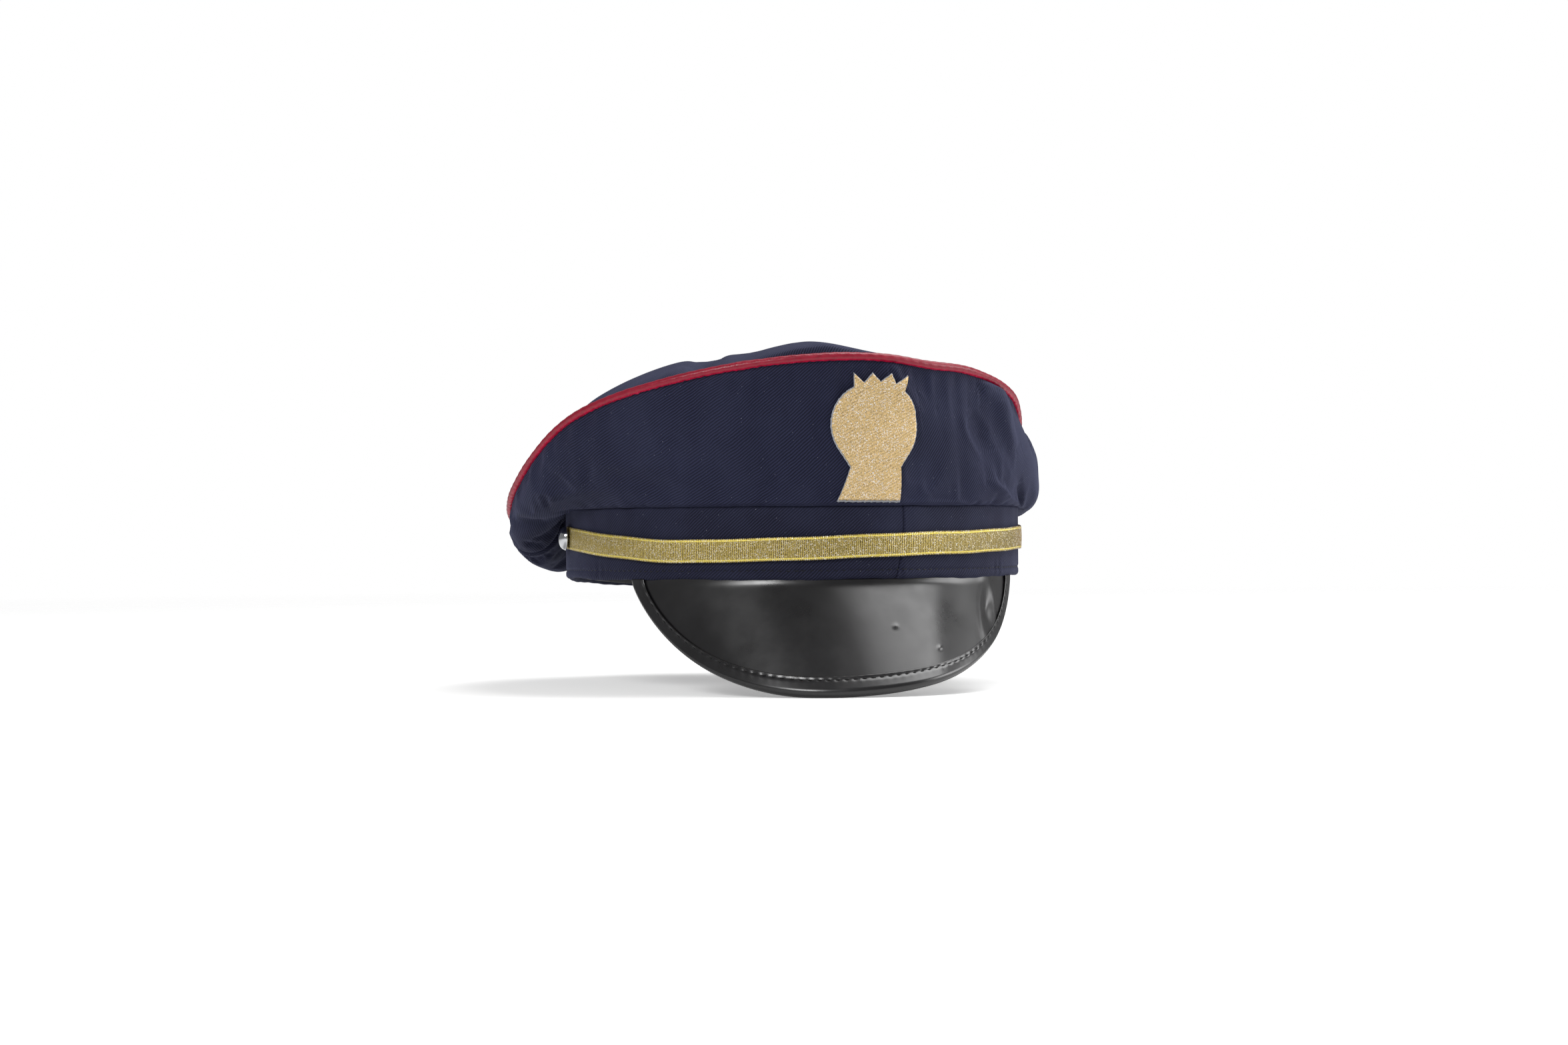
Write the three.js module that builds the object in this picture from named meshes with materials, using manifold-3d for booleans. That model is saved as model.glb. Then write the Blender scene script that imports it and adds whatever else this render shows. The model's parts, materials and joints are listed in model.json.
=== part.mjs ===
// A soft-topped peaked costume cap, in millimetres.
// +Z is up, the peak points along -Y, and the wearer's right is -X. The origin is the centre of the
// head opening, level with the lower edge of the band at the front.
// Angles are in degrees round the head: 0 at the front, positive towards +X, 180 at the back.
import * as THREE from 'three';
import { mergeVertices } from 'three/addons/utils/BufferGeometryUtils.js';
import Module from 'manifold-3d';

// Fit
const GAP = 0.3; // between pieces that lie on each other
const RUN_GAP = 1; // between the hanging ribbon and the band behind it

// Head opening, measured inside the sweatband
const HEAD_HALF_WIDTH = 86.7;
const HEAD_HALF_LENGTH = 97.3;

// Sheet thicknesses
const VINYL = 0.7;
const CLOTH = 0.7;
const BUCKRAM = 1.2;
const PEAK_SKIN = 0.6;
const PEAK_BOARD = 0.9;

// Band
const BAND_HEIGHT = 28;
const SWEAT_HEIGHT = 25;
const HEM_DEPTH = 8;
const HEM_STITCH_HEIGHT = 3.5;
const THREAD = 0.4;
const BACK_DROOP = 6.5; // how far the unstiffened back hangs below the front
const DROOP_FROM = 85;
const DROOP_TO = 175;

// Crown edge: a wide oval that stands high at the front and sinks towards the back and the right ear
const OVERHANG_SIDE = 12.1; // of the edge past the band
const OVERHANG_END = 11.5;
const EDGE_SHIFT = { x: -10, y: 6 };
const EDGE_RISE = [13, 5, -6.5, 7, 35, 50, 57, 54.5, 44, 28.5, 22, 17]; // above the band, every 30 from -180
const TIP_RISE = 65; // top of the crown above the band
const TIP_CENTRE = { x: -6, y: -2 };
const TIP_FULLNESS = 3; // power that keeps the top flat before it falls to the edge
const SIDE_SEAM = 110; // where the front and rear crown panels meet
const STAY_ANGLE = 35;
const STAY_FROM = 0.06;
const STAY_TO = 0.74;

// Piping
const PIPING_RADIUS = 1.6;
const PIPING_CLOTH = 0.4;
const PIPING_MOUTH = 50; // half angle of the open side of its cover
const PIPING_SIDES = 7;

// Peak
const PEAK_HALF_ANGLE = 58;
const PEAK_REACH = 32;
const PEAK_DROP = 41;
const PEAK_TAPER = 10.5;
const PEAK_SKEW = 0.15; // its right side, at -X, hangs lower by this share
const PEAK_SQUARENESS = 2.25;
const PEAK_ROOT_DROP = 1;
const PEAK_ROOT_SHARE = 0.8; // of the root's span that runs straight across each sheet
const PEAK_SETBACK = 1.2; // of its root from the band's outer face
const PEAK_TONGUE = 6; // of the lining, turned up inside the band
const BINDING_WIDTH = 8;
const BINDING_STITCH = 6.4; // from the edge

// Ribbon and the two buttons that hold it
const BUTTON_HEIGHT = 16.3;
const BUTTON_RADIUS = 4.9;
const BUTTON_DOME = 3.2;
const RIBBON_WIDTH = 9.2;
const RIBBON_THICKNESS = 0.6;
const RIBBON_DIP = [0, -2.4, -5.2, -4.6, -3.7, -2.7, -1.8, -1, 0]; // centre line, from button to button
const RIBBON_END = 4.5; // past each button
const POST_RADIUS = 1;
const TACK_RADIUS = 4;
const TACK_THICKNESS = 0.6;

// Badge, seen from the front: measured from the middle of its disc
const BADGE_ANGLE = 8;
const BADGE_LEAN = 0.174; // upright on a crown whose edge is set to one side of its band
const BADGE_HEIGHT = 58.4;
const BADGE_DISC = 16.7;
const BADGE_FACE = 0.5;
const BADGE_BACKING = 0.5;
const BADGE_BACKING_MARGIN = 0.4;
const BADGE_STAND = 0.9; // of its back from the crown's cloth, which rises between the badge's corners
const BADGE_FOOT = [[-10.3, -15], [-14.9, -27.6], [-6.2, -27.7], [2.6, -27.9], [11.3, -28], [10, -15]];
const BADGE_CREST = [
  [10.7, 12.8], [12.1, 18.8], [7.3, 15.6], [5.5, 19.4], [2, 16.6], [-1, 19.9], [-3.9, 16.3], [-8, 19.9],
  [-7.7, 14.8],
];

// Fineness
const RING_STEPS = 60;
const WALL_ROWS = 9;
const TIP_ROWS = 5;
const PEAK_STEPS = 24;
const PEAK_ROWS = 5;
const BADGE_ROWS = 3;
const ROUND_STEPS = 20;

const CREAM_GOLD = { color: 0xd8bd86, roughness: 0.45, metalness: 0.5 };
const RIBBON_GOLD = { color: 0xb39b4a, roughness: 0.35, metalness: 0.7 };
const NAVY = { color: 0x1b1d33, roughness: 0.85, metalness: 0 };
const CRIMSON = { color: 0x96122f, roughness: 0.45, metalness: 0 };
const GLOSS_BLACK = { color: 0x151416, roughness: 0.35, metalness: 0 };
const MATT_BLACK = { color: 0x0d0d0f, roughness: 0.6, metalness: 0 };
const CHROME = { color: 0xc9ccd2, roughness: 0.12, metalness: 1 };
const BOARD_GREY = { color: 0x8b8377, roughness: 0.9, metalness: 0 };
const STAY_WHITE = { color: 0xd9d6cc, roughness: 0.9, metalness: 0 };
const CORD_WHITE = { color: 0xe6e2d6, roughness: 0.9, metalness: 0 };
const SILVER_GREY = { color: 0x9a9ca3, roughness: 0.5, metalness: 0.4 };

const wasm = await Module();
wasm.setup();

const { degToRad, lerp, smoothstep } = THREE.MathUtils;
const FORWARD = new THREE.Vector3(0, -1, 0);
const UP = new THREE.Vector3(0, 0, 1);

// Layers of the band, as distances outward from the inside of the sweatband
const LAYERS = stackLayers([
  ['sweatband', VINYL],
  ['tongue', PEAK_SKIN],
  ['hem', CLOTH],
  ['stiffener', BUCKRAM],
  ['cover', CLOTH],
]);
const BAND_OUTSIDE = LAYERS.cover.outside;
const EDGE_HALF_WIDTH = HEAD_HALF_WIDTH + BAND_OUTSIDE + OVERHANG_SIDE;
const EDGE_HALF_LENGTH = HEAD_HALF_LENGTH + BAND_OUTSIDE + OVERHANG_END;
const PEAK_HALF_SPAN = degToRad(PEAK_HALF_ANGLE) * ((HEAD_HALF_WIDTH + HEAD_HALF_LENGTH) / 2 + BAND_OUTSIDE);

// Sheets of the peak, as distances along its normal: 0 is the top face of its cover
const PEAK_LAYERS = {
  cover: 0,
  board: -PEAK_SKIN - GAP,
  lining: -PEAK_SKIN - PEAK_BOARD - 2 * GAP,
};
const BINDING_TOP = GAP + PEAK_SKIN;
const BINDING_UNDER = PEAK_LAYERS.lining - 2 * PEAK_SKIN - GAP;
const BINDING_FOLD = (BINDING_TOP - BINDING_UNDER) / 2;
const PEAK_INSET = BINDING_FOLD + GAP;

/** Inside and outside of each layer, from the head outwards, a gap apart. */
function stackLayers(layers) {
  const stack = {};
  let inside = 0;
  for (const [name, thickness] of layers) {
    stack[name] = { inside, outside: inside + thickness };
    inside += thickness + GAP;
  }
  return stack;
}

/** A smooth swelling of 1 at an angle round the head, fading either side of it. */
function swell(angle, centre, spread) {
  const away = THREE.MathUtils.euclideanModulo(angle - centre + 180, 360) - 180;
  return Math.exp(-((away / spread) ** 2));
}

/** Horizontal direction away from the head. */
function outward(angle) {
  return new THREE.Vector3(Math.sin(degToRad(angle)), -Math.cos(degToRad(angle)), 0);
}

/** A point of the band: angle round the head, distance outside the sweatband's inside, and height. */
function bandPoint(angle, out, height) {
  const droop = BACK_DROOP * smoothstep(Math.abs(angle), DROOP_FROM, DROOP_TO);
  return new THREE.Vector3(
    (HEAD_HALF_WIDTH + out) * Math.sin(degToRad(angle)),
    -(HEAD_HALF_LENGTH + out) * Math.cos(degToRad(angle)),
    height - droop,
  );
}

const edgeCurve = new THREE.CatmullRomCurve3(
  EDGE_RISE.map((rise, i) => {
    const angle = -180 + (360 * i) / EDGE_RISE.length;
    return new THREE.Vector3(
      EDGE_SHIFT.x + EDGE_HALF_WIDTH * Math.sin(degToRad(angle)),
      EDGE_SHIFT.y - EDGE_HALF_LENGTH * Math.cos(degToRad(angle)),
      BAND_HEIGHT + rise,
    );
  }),
  true,
  'catmullrom',
  0.5,
);

/** The centre of the piping, with a step outward and a step up from it. */
function edgePoint(angle, out = 0, up = 0) {
  const turn = THREE.MathUtils.euclideanModulo((angle + 180) / 360, 1);
  return edgeCurve.getPoint(turn).addScaledVector(outward(angle), out).addScaledVector(UP, up);
}

/** The outer face of the crown's side, from the band at v = 0 to the piping at v = 1. */
function wallPoint(angle, v) {
  const rear = swell(angle, -122, 32);
  const left = swell(angle, 95, 40);
  const back = swell(angle, 180, 45);
  const foot = bandPoint(angle, BAND_OUTSIDE + GAP, BAND_HEIGHT + GAP);
  const head = edgePoint(angle, -0.5, -PIPING_RADIUS - 2 * GAP);
  const out = outward(angle);
  const low = foot.clone().addScaledVector(out, 4 + 9 * rear + 3 * left + 10 * back);
  low.z += 16 - 62 * rear - 24 * left - 22 * back;
  const high = head.clone().addScaledVector(out, 3 + 6 * rear + 19 * left + 8 * back);
  high.z -= 20 - 18 * rear + left + 6 * back;
  return new THREE.CubicBezierCurve3(foot, low, high, head).getPoint(v);
}

/** The crown wall at a height, for pieces that are placed by their height on it. */
function wallAtHeight(angle, height) {
  let from = 0;
  let to = 1;
  for (let i = 0; i < 24; i += 1) {
    const middle = (from + to) / 2;
    if (wallPoint(angle, middle).z < height) from = middle;
    else to = middle;
  }
  return from;
}

/** The upper face of the crown's top: q is 0 in its middle and 1 at the piping. */
function tipPoint(angle, q, drop) {
  const edge = edgePoint(angle, -PIPING_RADIUS - 2 * GAP, GAP);
  const fall = q ** TIP_FULLNESS;
  return new THREE.Vector3(
    lerp(TIP_CENTRE.x, edge.x, q),
    lerp(TIP_CENTRE.y, edge.y, q),
    lerp(BAND_HEIGHT + TIP_RISE, edge.z, fall) - drop,
  );
}

/** The direction that a surface faces at (u, v). */
function normalAt(surface, u, v) {
  const step = 1e-3;
  const along = surface(u + step, v).sub(surface(u - step, v));
  const across = surface(u, v + step).sub(surface(u, v - step));
  return along.cross(across).normalize();
}

/** A point on the peak's top face laid out flat: along its root, and out from it. */
function peakSurface(along, reach) {
  const side = along / PEAK_HALF_SPAN;
  const share = reach / Math.hypot(PEAK_REACH, PEAK_DROP);
  const root = bandPoint(side * PEAK_HALF_ANGLE, BAND_OUTSIDE - PEAK_SETBACK, -PEAK_ROOT_DROP);
  root.addScaledVector(FORWARD, PEAK_REACH * share);
  root.z -= PEAK_DROP * share * (1 - PEAK_SKEW * side);
  root.x -= PEAK_TAPER * share * side;
  return root;
}

/** The outline of the flat peak, moved in from its edge: sweep runs from -90 to 90. */
function peakOutline(sweep, inset) {
  const power = 2 / PEAK_SQUARENESS;
  const at = (angle) => {
    const sine = Math.sin(degToRad(angle));
    return new THREE.Vector2(
      PEAK_HALF_SPAN * Math.sign(sine) * Math.abs(sine) ** power,
      Math.hypot(PEAK_REACH, PEAK_DROP) * Math.cos(degToRad(angle)),
    );
  };
  const edge = THREE.MathUtils.clamp(sweep, -89.9, 89.9);
  const tangent = at(edge + 0.05).sub(at(edge - 0.05)).normalize();
  return at(edge).addScaledVector(new THREE.Vector2(tangent.y, -tangent.x), inset);
}

/** A point of the peak by sweep and distance from its edge, raised along its normal. */
function peakPoint(flat, raise) {
  const normal = normalAt((u, v) => peakSurface(u, -v), flat.x, -flat.y);
  return peakSurface(flat.x, flat.y).addScaledVector(normal, raise);
}

/** Merge a geometry's shared corners and move each of them. */
function reshape(geometry, move) {
  geometry.deleteAttribute('normal');
  geometry.deleteAttribute('uv');
  const merged = mergeVertices(geometry, 1e-5);
  const place = merged.getAttribute('position');
  const corner = new THREE.Vector3();
  for (let i = 0; i < place.count; i += 1) {
    corner.fromBufferAttribute(place, i);
    const moved = move(corner);
    place.setXYZ(i, moved.x, moved.y, moved.z);
  }
  const shaped = mergeVertices(merged, 1e-4);
  shaped.computeVertexNormals();
  return shaped;
}

/** A closed sheet: its outer face follows surface(u, v), and its inner face lies behind it. */
function sheet(surface, thickness, uSteps, vSteps, behind = 0) {
  const block = new THREE.BoxGeometry(1, 1, 1, uSteps, vSteps, 1);
  return reshape(block, ({ x, y, z }) => {
    const u = x + 0.5;
    const v = y + 0.5;
    const depth = behind + (0.5 - z) * thickness;
    return surface(u, v).addScaledVector(normalAt(surface, u, v), -depth);
  });
}

/** A closed ring round the head: section is a loop of [out, up], anticlockwise. */
function ring(section, place) {
  const hub = 50;
  const loop = [...section, section[0]].map(([out, up]) => new THREE.Vector2(hub + out, up));
  return reshape(new THREE.LatheGeometry(loop, RING_STEPS), ({ x, y, z }) => {
    const angle = THREE.MathUtils.radToDeg(Math.atan2(x, z));
    return place(angle, Math.hypot(x, z) - hub, y);
  });
}

/** A rectangle as a ring section. */
function slab(inside, outside, bottom, top) {
  return [[inside, bottom], [outside, bottom], [outside, top], [inside, top]];
}

/** A turned piece that stands on the side of the band: profile is [radius, distance outward]. */
function turned(profile, side) {
  const points = profile.map(([radius, out]) => new THREE.Vector2(radius, out));
  const seat = HEAD_HALF_WIDTH + BAND_OUTSIDE;
  return new THREE.LatheGeometry(points, ROUND_STEPS)
    .rotateZ((-side * Math.PI) / 2)
    .translate(side * seat, 0, BUTTON_HEIGHT);
}

/** The same geometry as a solid that can be joined and cut. */
function solidOf(geometry) {
  const bare = geometry.clone();
  bare.deleteAttribute('normal');
  bare.deleteAttribute('uv');
  const merged = mergeVertices(bare, 1e-4);
  return new wasm.Manifold(
    new wasm.Mesh({
      numProp: 3,
      vertProperties: merged.getAttribute('position').array,
      triVerts: new Uint32Array(merged.index.array),
    }),
  );
}

/** Cut tools out of a geometry. */
function cut(geometry, tools) {
  const result = tools.reduce((rest, tool) => rest.subtract(solidOf(tool)), solidOf(geometry)).getMesh();
  const made = new THREE.BufferGeometry();
  made.setAttribute('position', new THREE.BufferAttribute(result.vertProperties, 3));
  made.setIndex(new THREE.BufferAttribute(result.triVerts, 1));
  made.computeVertexNormals();
  return made;
}

/** The two round holes that the button posts pass through. */
function postHoles() {
  const reach = 6;
  const radius = POST_RADIUS + GAP;
  return [-1, 1].map((side) => turned([[0, -reach], [radius, -reach], [radius, reach], [0, reach]], side));
}

/** The band's cover: one strip that turns under at the lower edge into a hem. */
function bandCover() {
  const { hem, cover } = LAYERS;
  const section = [
    [hem.inside, 0],
    [cover.outside, 0],
    [cover.outside, BAND_HEIGHT],
    [cover.inside, BAND_HEIGHT],
    [cover.inside, CLOTH],
    [hem.outside, CLOTH],
    [hem.outside, HEM_DEPTH],
    [hem.inside, HEM_DEPTH],
  ];
  return cut(ring(section, bandPoint), postHoles());
}

function bandStiffener() {
  const { inside, outside } = LAYERS.stiffener;
  return cut(ring(slab(inside, outside, CLOTH + GAP, BAND_HEIGHT - 1), bandPoint), postHoles());
}

function sweatband() {
  const { inside, outside } = LAYERS.sweatband;
  return ring(slab(inside, outside, 1, 1 + SWEAT_HEIGHT), bandPoint);
}

function hemThread() {
  const inside = BAND_OUTSIDE + GAP;
  const bottom = HEM_STITCH_HEIGHT - THREAD / 2;
  return ring(slab(inside, inside + THREAD, bottom, bottom + THREAD), bandPoint);
}

/** One sheet of the peak, from its bound edge at v = 0 to its root at v = 1. */
function peakPanel(thickness, level) {
  const surface = (u, v) => {
    const sweep = lerp(-90, 90, u);
    const edge = peakOutline(sweep, PEAK_INSET);
    const root = new THREE.Vector2((PEAK_ROOT_SHARE * PEAK_HALF_SPAN * sweep) / 90, 0);
    return peakPoint(edge.lerp(root, v), level);
  };
  return { surface, solid: () => sheet(surface, thickness, PEAK_STEPS, PEAK_ROWS) };
}

/** The peak's lining: its root turns up inside the band as a tongue that is sewn behind the hem. */
function peakLining() {
  const panel = peakPanel(PEAK_SKIN, PEAK_LAYERS.lining).surface;
  const rows = PEAK_ROWS + 3;
  const root = 1 - 2 / rows;
  const foot = 1 - 1 / rows;
  const surface = (u, v) => {
    if (v <= root) return panel(u, v / root);
    const angle = lerp(-1, 1, u) * PEAK_ROOT_SHARE * PEAK_HALF_ANGLE;
    const height = lerp(-PEAK_ROOT_DROP, PEAK_TONGUE, Math.max(0, (v - foot) / (1 - foot)));
    return bandPoint(angle, LAYERS.tongue.outside, height);
  };
  return sheet(surface, PEAK_SKIN, PEAK_STEPS, rows);
}

/** The binding: one strip folded round the peak's edge, over its cover and under its lining. */
function peakBinding() {
  const level = (BINDING_TOP + BINDING_UNDER) / 2;
  const path = new THREE.Path()
    .moveTo(BINDING_WIDTH, BINDING_UNDER)
    .lineTo(BINDING_FOLD, BINDING_UNDER)
    .absarc(BINDING_FOLD, level, BINDING_FOLD, -Math.PI / 2, Math.PI / 2, true)
    .lineTo(BINDING_WIDTH, BINDING_TOP);
  const surface = (u, v) => {
    const { x: inset, y: raise } = path.getPoint(THREE.MathUtils.clamp(v, 0, 1));
    return peakPoint(peakOutline(lerp(-90, 90, u), inset), raise);
  };
  return sheet(surface, PEAK_SKIN, PEAK_STEPS + 6, 11);
}

function peakThread() {
  const surface = (u, v) => {
    const sweep = lerp(-82, 82, u);
    return peakPoint(peakOutline(sweep, BINDING_STITCH - THREAD * (0.5 - v)), BINDING_TOP + GAP + THREAD);
  };
  return sheet(surface, THREAD, 2 * PEAK_STEPS, 1);
}

/** The ribbon: it runs round the front from one button to the other, and past each of them. */
function chinRibbon() {
  const dips = RIBBON_DIP.map((dip, i) => new THREE.Vector2((i / (RIBBON_DIP.length - 1)) * 180 - 90, dip));
  const line = new THREE.SplineCurve(dips);
  const endAngle = 90 + THREE.MathUtils.radToDeg(RIBBON_END / HEAD_HALF_LENGTH);
  const surface = (u, v) => {
    const angle = lerp(-endAngle, endAngle, u);
    const share = THREE.MathUtils.clamp((angle + 90) / 180, 0, 1);
    const stand = lerp(RUN_GAP, GAP, smoothstep(Math.abs(angle), 70, 86)) + RIBBON_THICKNESS;
    const height = BUTTON_HEIGHT + line.getPoint(share).y + (v - 0.5) * RIBBON_WIDTH;
    const point = bandPoint(angle, BAND_OUTSIDE + stand, height);
    point.z = height;
    return point;
  };
  return cut(sheet(surface, RIBBON_THICKNESS, 54, 1), postHoles());
}

/** A domed button cap, whose flat back faces the ribbon. */
function buttonCap(side) {
  const back = RUN_GAP + RIBBON_THICKNESS;
  const profile = [[0, back], [BUTTON_RADIUS - 0.4, back], [BUTTON_RADIUS, back + 0.5]];
  for (const turn of [25, 45, 65]) {
    const angle = degToRad(turn);
    profile.push([BUTTON_RADIUS * Math.cos(angle), back + 0.5 + (BUTTON_DOME - 0.5) * Math.sin(angle)]);
  }
  profile.push([0, back + BUTTON_DOME]);
  return turned(profile, side);
}

/** The tack behind a button: a post through ribbon, cover and stiffener, with a flat head inside. */
function buttonTack(side) {
  const head = LAYERS.stiffener.inside - GAP - BAND_OUTSIDE;
  const tip = RUN_GAP + RIBBON_THICKNESS - GAP;
  const profile = [
    [0, head - TACK_THICKNESS],
    [TACK_RADIUS, head - TACK_THICKNESS],
    [TACK_RADIUS, head],
    [POST_RADIUS, head],
    [POST_RADIUS, tip],
    [0, tip],
  ];
  return turned(profile, side);
}

/** A panel of the crown's side between two angles. */
function crownPanel(from, to) {
  const steps = Math.round((to - from) / (360 / RING_STEPS));
  return sheet((u, v) => wallPoint(lerp(from, to, u), v), CLOTH, steps, WALL_ROWS);
}

/** The stay that holds the front of the crown upright, behind its cloth. */
function frontStay() {
  const surface = (u, v) => wallPoint(lerp(-STAY_ANGLE, STAY_ANGLE, u), lerp(STAY_FROM, STAY_TO, v));
  return sheet(surface, BUCKRAM, 12, 5, CLOTH + GAP);
}

/** The crown's top panel. */
function crownTip() {
  const rows = Array.from({ length: TIP_ROWS + 1 }, (_, i) => i / TIP_ROWS);
  const under = rows.map((q) => new THREE.Vector2(q, 0));
  const over = rows.map((q) => new THREE.Vector2(q, 1)).reverse();
  const lathe = new THREE.LatheGeometry([...under, ...over], RING_STEPS);
  return reshape(lathe, ({ x, y, z }) => {
    const angle = THREE.MathUtils.radToDeg(Math.atan2(x, z));
    return tipPoint(angle, Math.hypot(x, z), (1 - y) * CLOTH);
  });
}

/** The satin cover of the piping, open along the side that is sewn into the seam. */
function pipingCover() {
  const inner = PIPING_RADIUS - PIPING_CLOTH;
  const arc = (radius) => Array.from({ length: PIPING_SIDES }, (_, i) => {
    const turn = degToRad(lerp(-180 + PIPING_MOUTH, 180 - PIPING_MOUTH, i / (PIPING_SIDES - 1)) - 20);
    return [radius * Math.cos(turn), radius * Math.sin(turn)];
  });
  return ring([...arc(PIPING_RADIUS), ...arc(inner).reverse()], edgePoint);
}

function pipingCord() {
  const radius = PIPING_RADIUS - PIPING_CLOTH - GAP;
  const section = Array.from({ length: 6 }, (_, i) => {
    const turn = (i / 6) * 2 * Math.PI;
    return [radius * Math.cos(turn), radius * Math.sin(turn)];
  });
  return ring(section, edgePoint);
}

/** The badge's outline: a disc with a four-pointed crest above it and a flared foot below. */
function badgeOutline(margin) {
  const arc = (from, to, steps) => Array.from({ length: steps }, (_, i) => {
    const turn = degToRad(lerp(from, to, i / (steps - 1)));
    return [BADGE_DISC * Math.cos(turn), BADGE_DISC * Math.sin(turn)];
  });
  const loop = [...BADGE_CREST, ...arc(128, 209, 8), ...BADGE_FOOT, ...arc(-30, 40, 8)];
  return loop.map(([x, y]) => new THREE.Vector2(x, y).multiplyScalar(1 + margin / BADGE_DISC));
}

/** A sheet of the badge that lies along the crown wall, with its back a distance in front of it. */
function badgeSheet(thickness, stand, margin) {
  const outline = badgeOutline(margin);
  const rows = Array.from({ length: BADGE_ROWS + 1 }, (_, i) => i / BADGE_ROWS);
  const profile = [
    ...rows.map((q) => new THREE.Vector2(q, 0)),
    ...rows.map((q) => new THREE.Vector2(q, 1)).reverse(),
  ];
  const lathe = new THREE.LatheGeometry(profile, outline.length);
  const degreesPerMm = 360 / (Math.PI * (EDGE_HALF_WIDTH + HEAD_HALF_WIDTH + BAND_OUTSIDE));
  return reshape(lathe, ({ x, y, z }) => {
    const turn = THREE.MathUtils.euclideanModulo(Math.atan2(x, z) / (2 * Math.PI), 1);
    const corner = outline[Math.round(turn * outline.length) % outline.length];
    const flat = corner.clone().multiplyScalar(Math.hypot(x, z));
    const angle = BADGE_ANGLE + (flat.x + BADGE_LEAN * flat.y) * degreesPerMm;
    const share = wallAtHeight(angle, BADGE_HEIGHT + flat.y);
    return wallPoint(angle, share).addScaledVector(normalAt(wallPoint, angle, share), stand + y * thickness);
  });
}

const cap = new THREE.Group();

/** Add a named piece with its own material. */
function add(name, geometry, finish) {
  const mesh = new THREE.Mesh(geometry, new THREE.MeshStandardMaterial(finish));
  mesh.name = name;
  cap.add(mesh);
}

add('sweatband', sweatband(), MATT_BLACK);
add('band_stiffener', bandStiffener(), STAY_WHITE);
add('band_cover', bandCover(), NAVY);
add('hem_thread', hemThread(), NAVY);

add('peak_cover', peakPanel(PEAK_SKIN, PEAK_LAYERS.cover).solid(), GLOSS_BLACK);
add('peak_board', peakPanel(PEAK_BOARD, PEAK_LAYERS.board).solid(), BOARD_GREY);
add('peak_lining', peakLining(), MATT_BLACK);
add('peak_binding', peakBinding(), GLOSS_BLACK);
add('peak_thread', peakThread(), MATT_BLACK);

add('crown_side_front', crownPanel(-SIDE_SEAM, SIDE_SEAM), NAVY);
add('crown_side_rear', crownPanel(SIDE_SEAM + GAP, 360 - SIDE_SEAM - GAP), NAVY);
add('crown_tip', crownTip(), NAVY);
add('front_stay', frontStay(), STAY_WHITE);
add('piping_cover', pipingCover(), CRIMSON);
add('piping_cord', pipingCord(), CORD_WHITE);

add('badge_backing', badgeSheet(BADGE_BACKING, BADGE_STAND, BADGE_BACKING_MARGIN), SILVER_GREY);
add('badge_face', badgeSheet(BADGE_FACE, BADGE_STAND + BADGE_BACKING + GAP, 0), CREAM_GOLD);

add('chin_ribbon', chinRibbon(), RIBBON_GOLD);
for (const [hand, side] of [['right', -1], ['left', 1]]) {
  add(`button_cap_${hand}`, buttonCap(side), CHROME);
  add(`button_tack_${hand}`, buttonTack(side), CHROME);
}

export default cap;
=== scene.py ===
"""A soft-topped peaked costume cap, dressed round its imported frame.

The cap has a navy twill band and crown, crimson satin piping, a bound black vinyl peak, a gilt chin
ribbon on two chrome buttons, and a gilt lame badge. +Z is up, the peak points along -Y, and the
wearer's right is -X. Angles are in degrees round the head: 0 at the front, positive towards +X and
180 at the back. Lengths are in metres, and sizes are written in millimetres times MM.
"""

import json
import logging
import math
from collections.abc import Callable, Sequence
from dataclasses import dataclass
from enum import Enum
from typing import Any

import bpy
import numpy as np
from bpy.types import Material, Node, NodeSocket, NodeTree, Object
from mathutils import Matrix, Vector


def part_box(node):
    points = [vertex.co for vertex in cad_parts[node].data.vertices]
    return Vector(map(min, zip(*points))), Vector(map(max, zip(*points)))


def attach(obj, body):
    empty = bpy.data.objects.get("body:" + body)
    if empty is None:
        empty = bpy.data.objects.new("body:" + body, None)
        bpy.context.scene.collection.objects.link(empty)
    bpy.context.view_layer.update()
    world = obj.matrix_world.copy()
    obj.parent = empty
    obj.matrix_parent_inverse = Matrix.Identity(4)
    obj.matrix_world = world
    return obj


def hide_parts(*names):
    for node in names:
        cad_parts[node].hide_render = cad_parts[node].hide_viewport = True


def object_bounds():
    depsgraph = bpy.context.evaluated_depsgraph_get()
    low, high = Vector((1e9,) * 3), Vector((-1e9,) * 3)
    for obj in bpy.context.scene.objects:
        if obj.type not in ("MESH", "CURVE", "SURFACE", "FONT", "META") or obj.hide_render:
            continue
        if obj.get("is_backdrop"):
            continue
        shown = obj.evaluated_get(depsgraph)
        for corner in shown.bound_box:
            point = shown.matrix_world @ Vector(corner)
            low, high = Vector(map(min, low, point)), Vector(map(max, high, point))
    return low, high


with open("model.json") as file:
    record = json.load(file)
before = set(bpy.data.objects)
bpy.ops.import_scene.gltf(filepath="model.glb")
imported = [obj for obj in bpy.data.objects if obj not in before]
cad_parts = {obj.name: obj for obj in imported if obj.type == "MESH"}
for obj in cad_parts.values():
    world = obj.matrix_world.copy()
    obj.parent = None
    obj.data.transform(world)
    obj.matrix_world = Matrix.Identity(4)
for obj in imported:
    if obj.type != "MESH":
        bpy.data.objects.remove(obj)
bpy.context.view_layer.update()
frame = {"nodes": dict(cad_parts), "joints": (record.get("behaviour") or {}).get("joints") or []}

LOG = logging.getLogger("cap")
MM = 0.001
GAP = 0.3 * MM  # between pieces that lie on each other
EASE = 0.1 * MM  # by which each sheet is thinner than its solid, so that its layers stay apart
VINYL = 0.7 * MM
CLOTH = 0.7 * MM
SKIN = 0.6 * MM  # of each layer of the peak
MEAN_RADIUS = 103 * MM  # of the crown's sides, for laying them out flat
SETTLE_STEPS = 24
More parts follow.
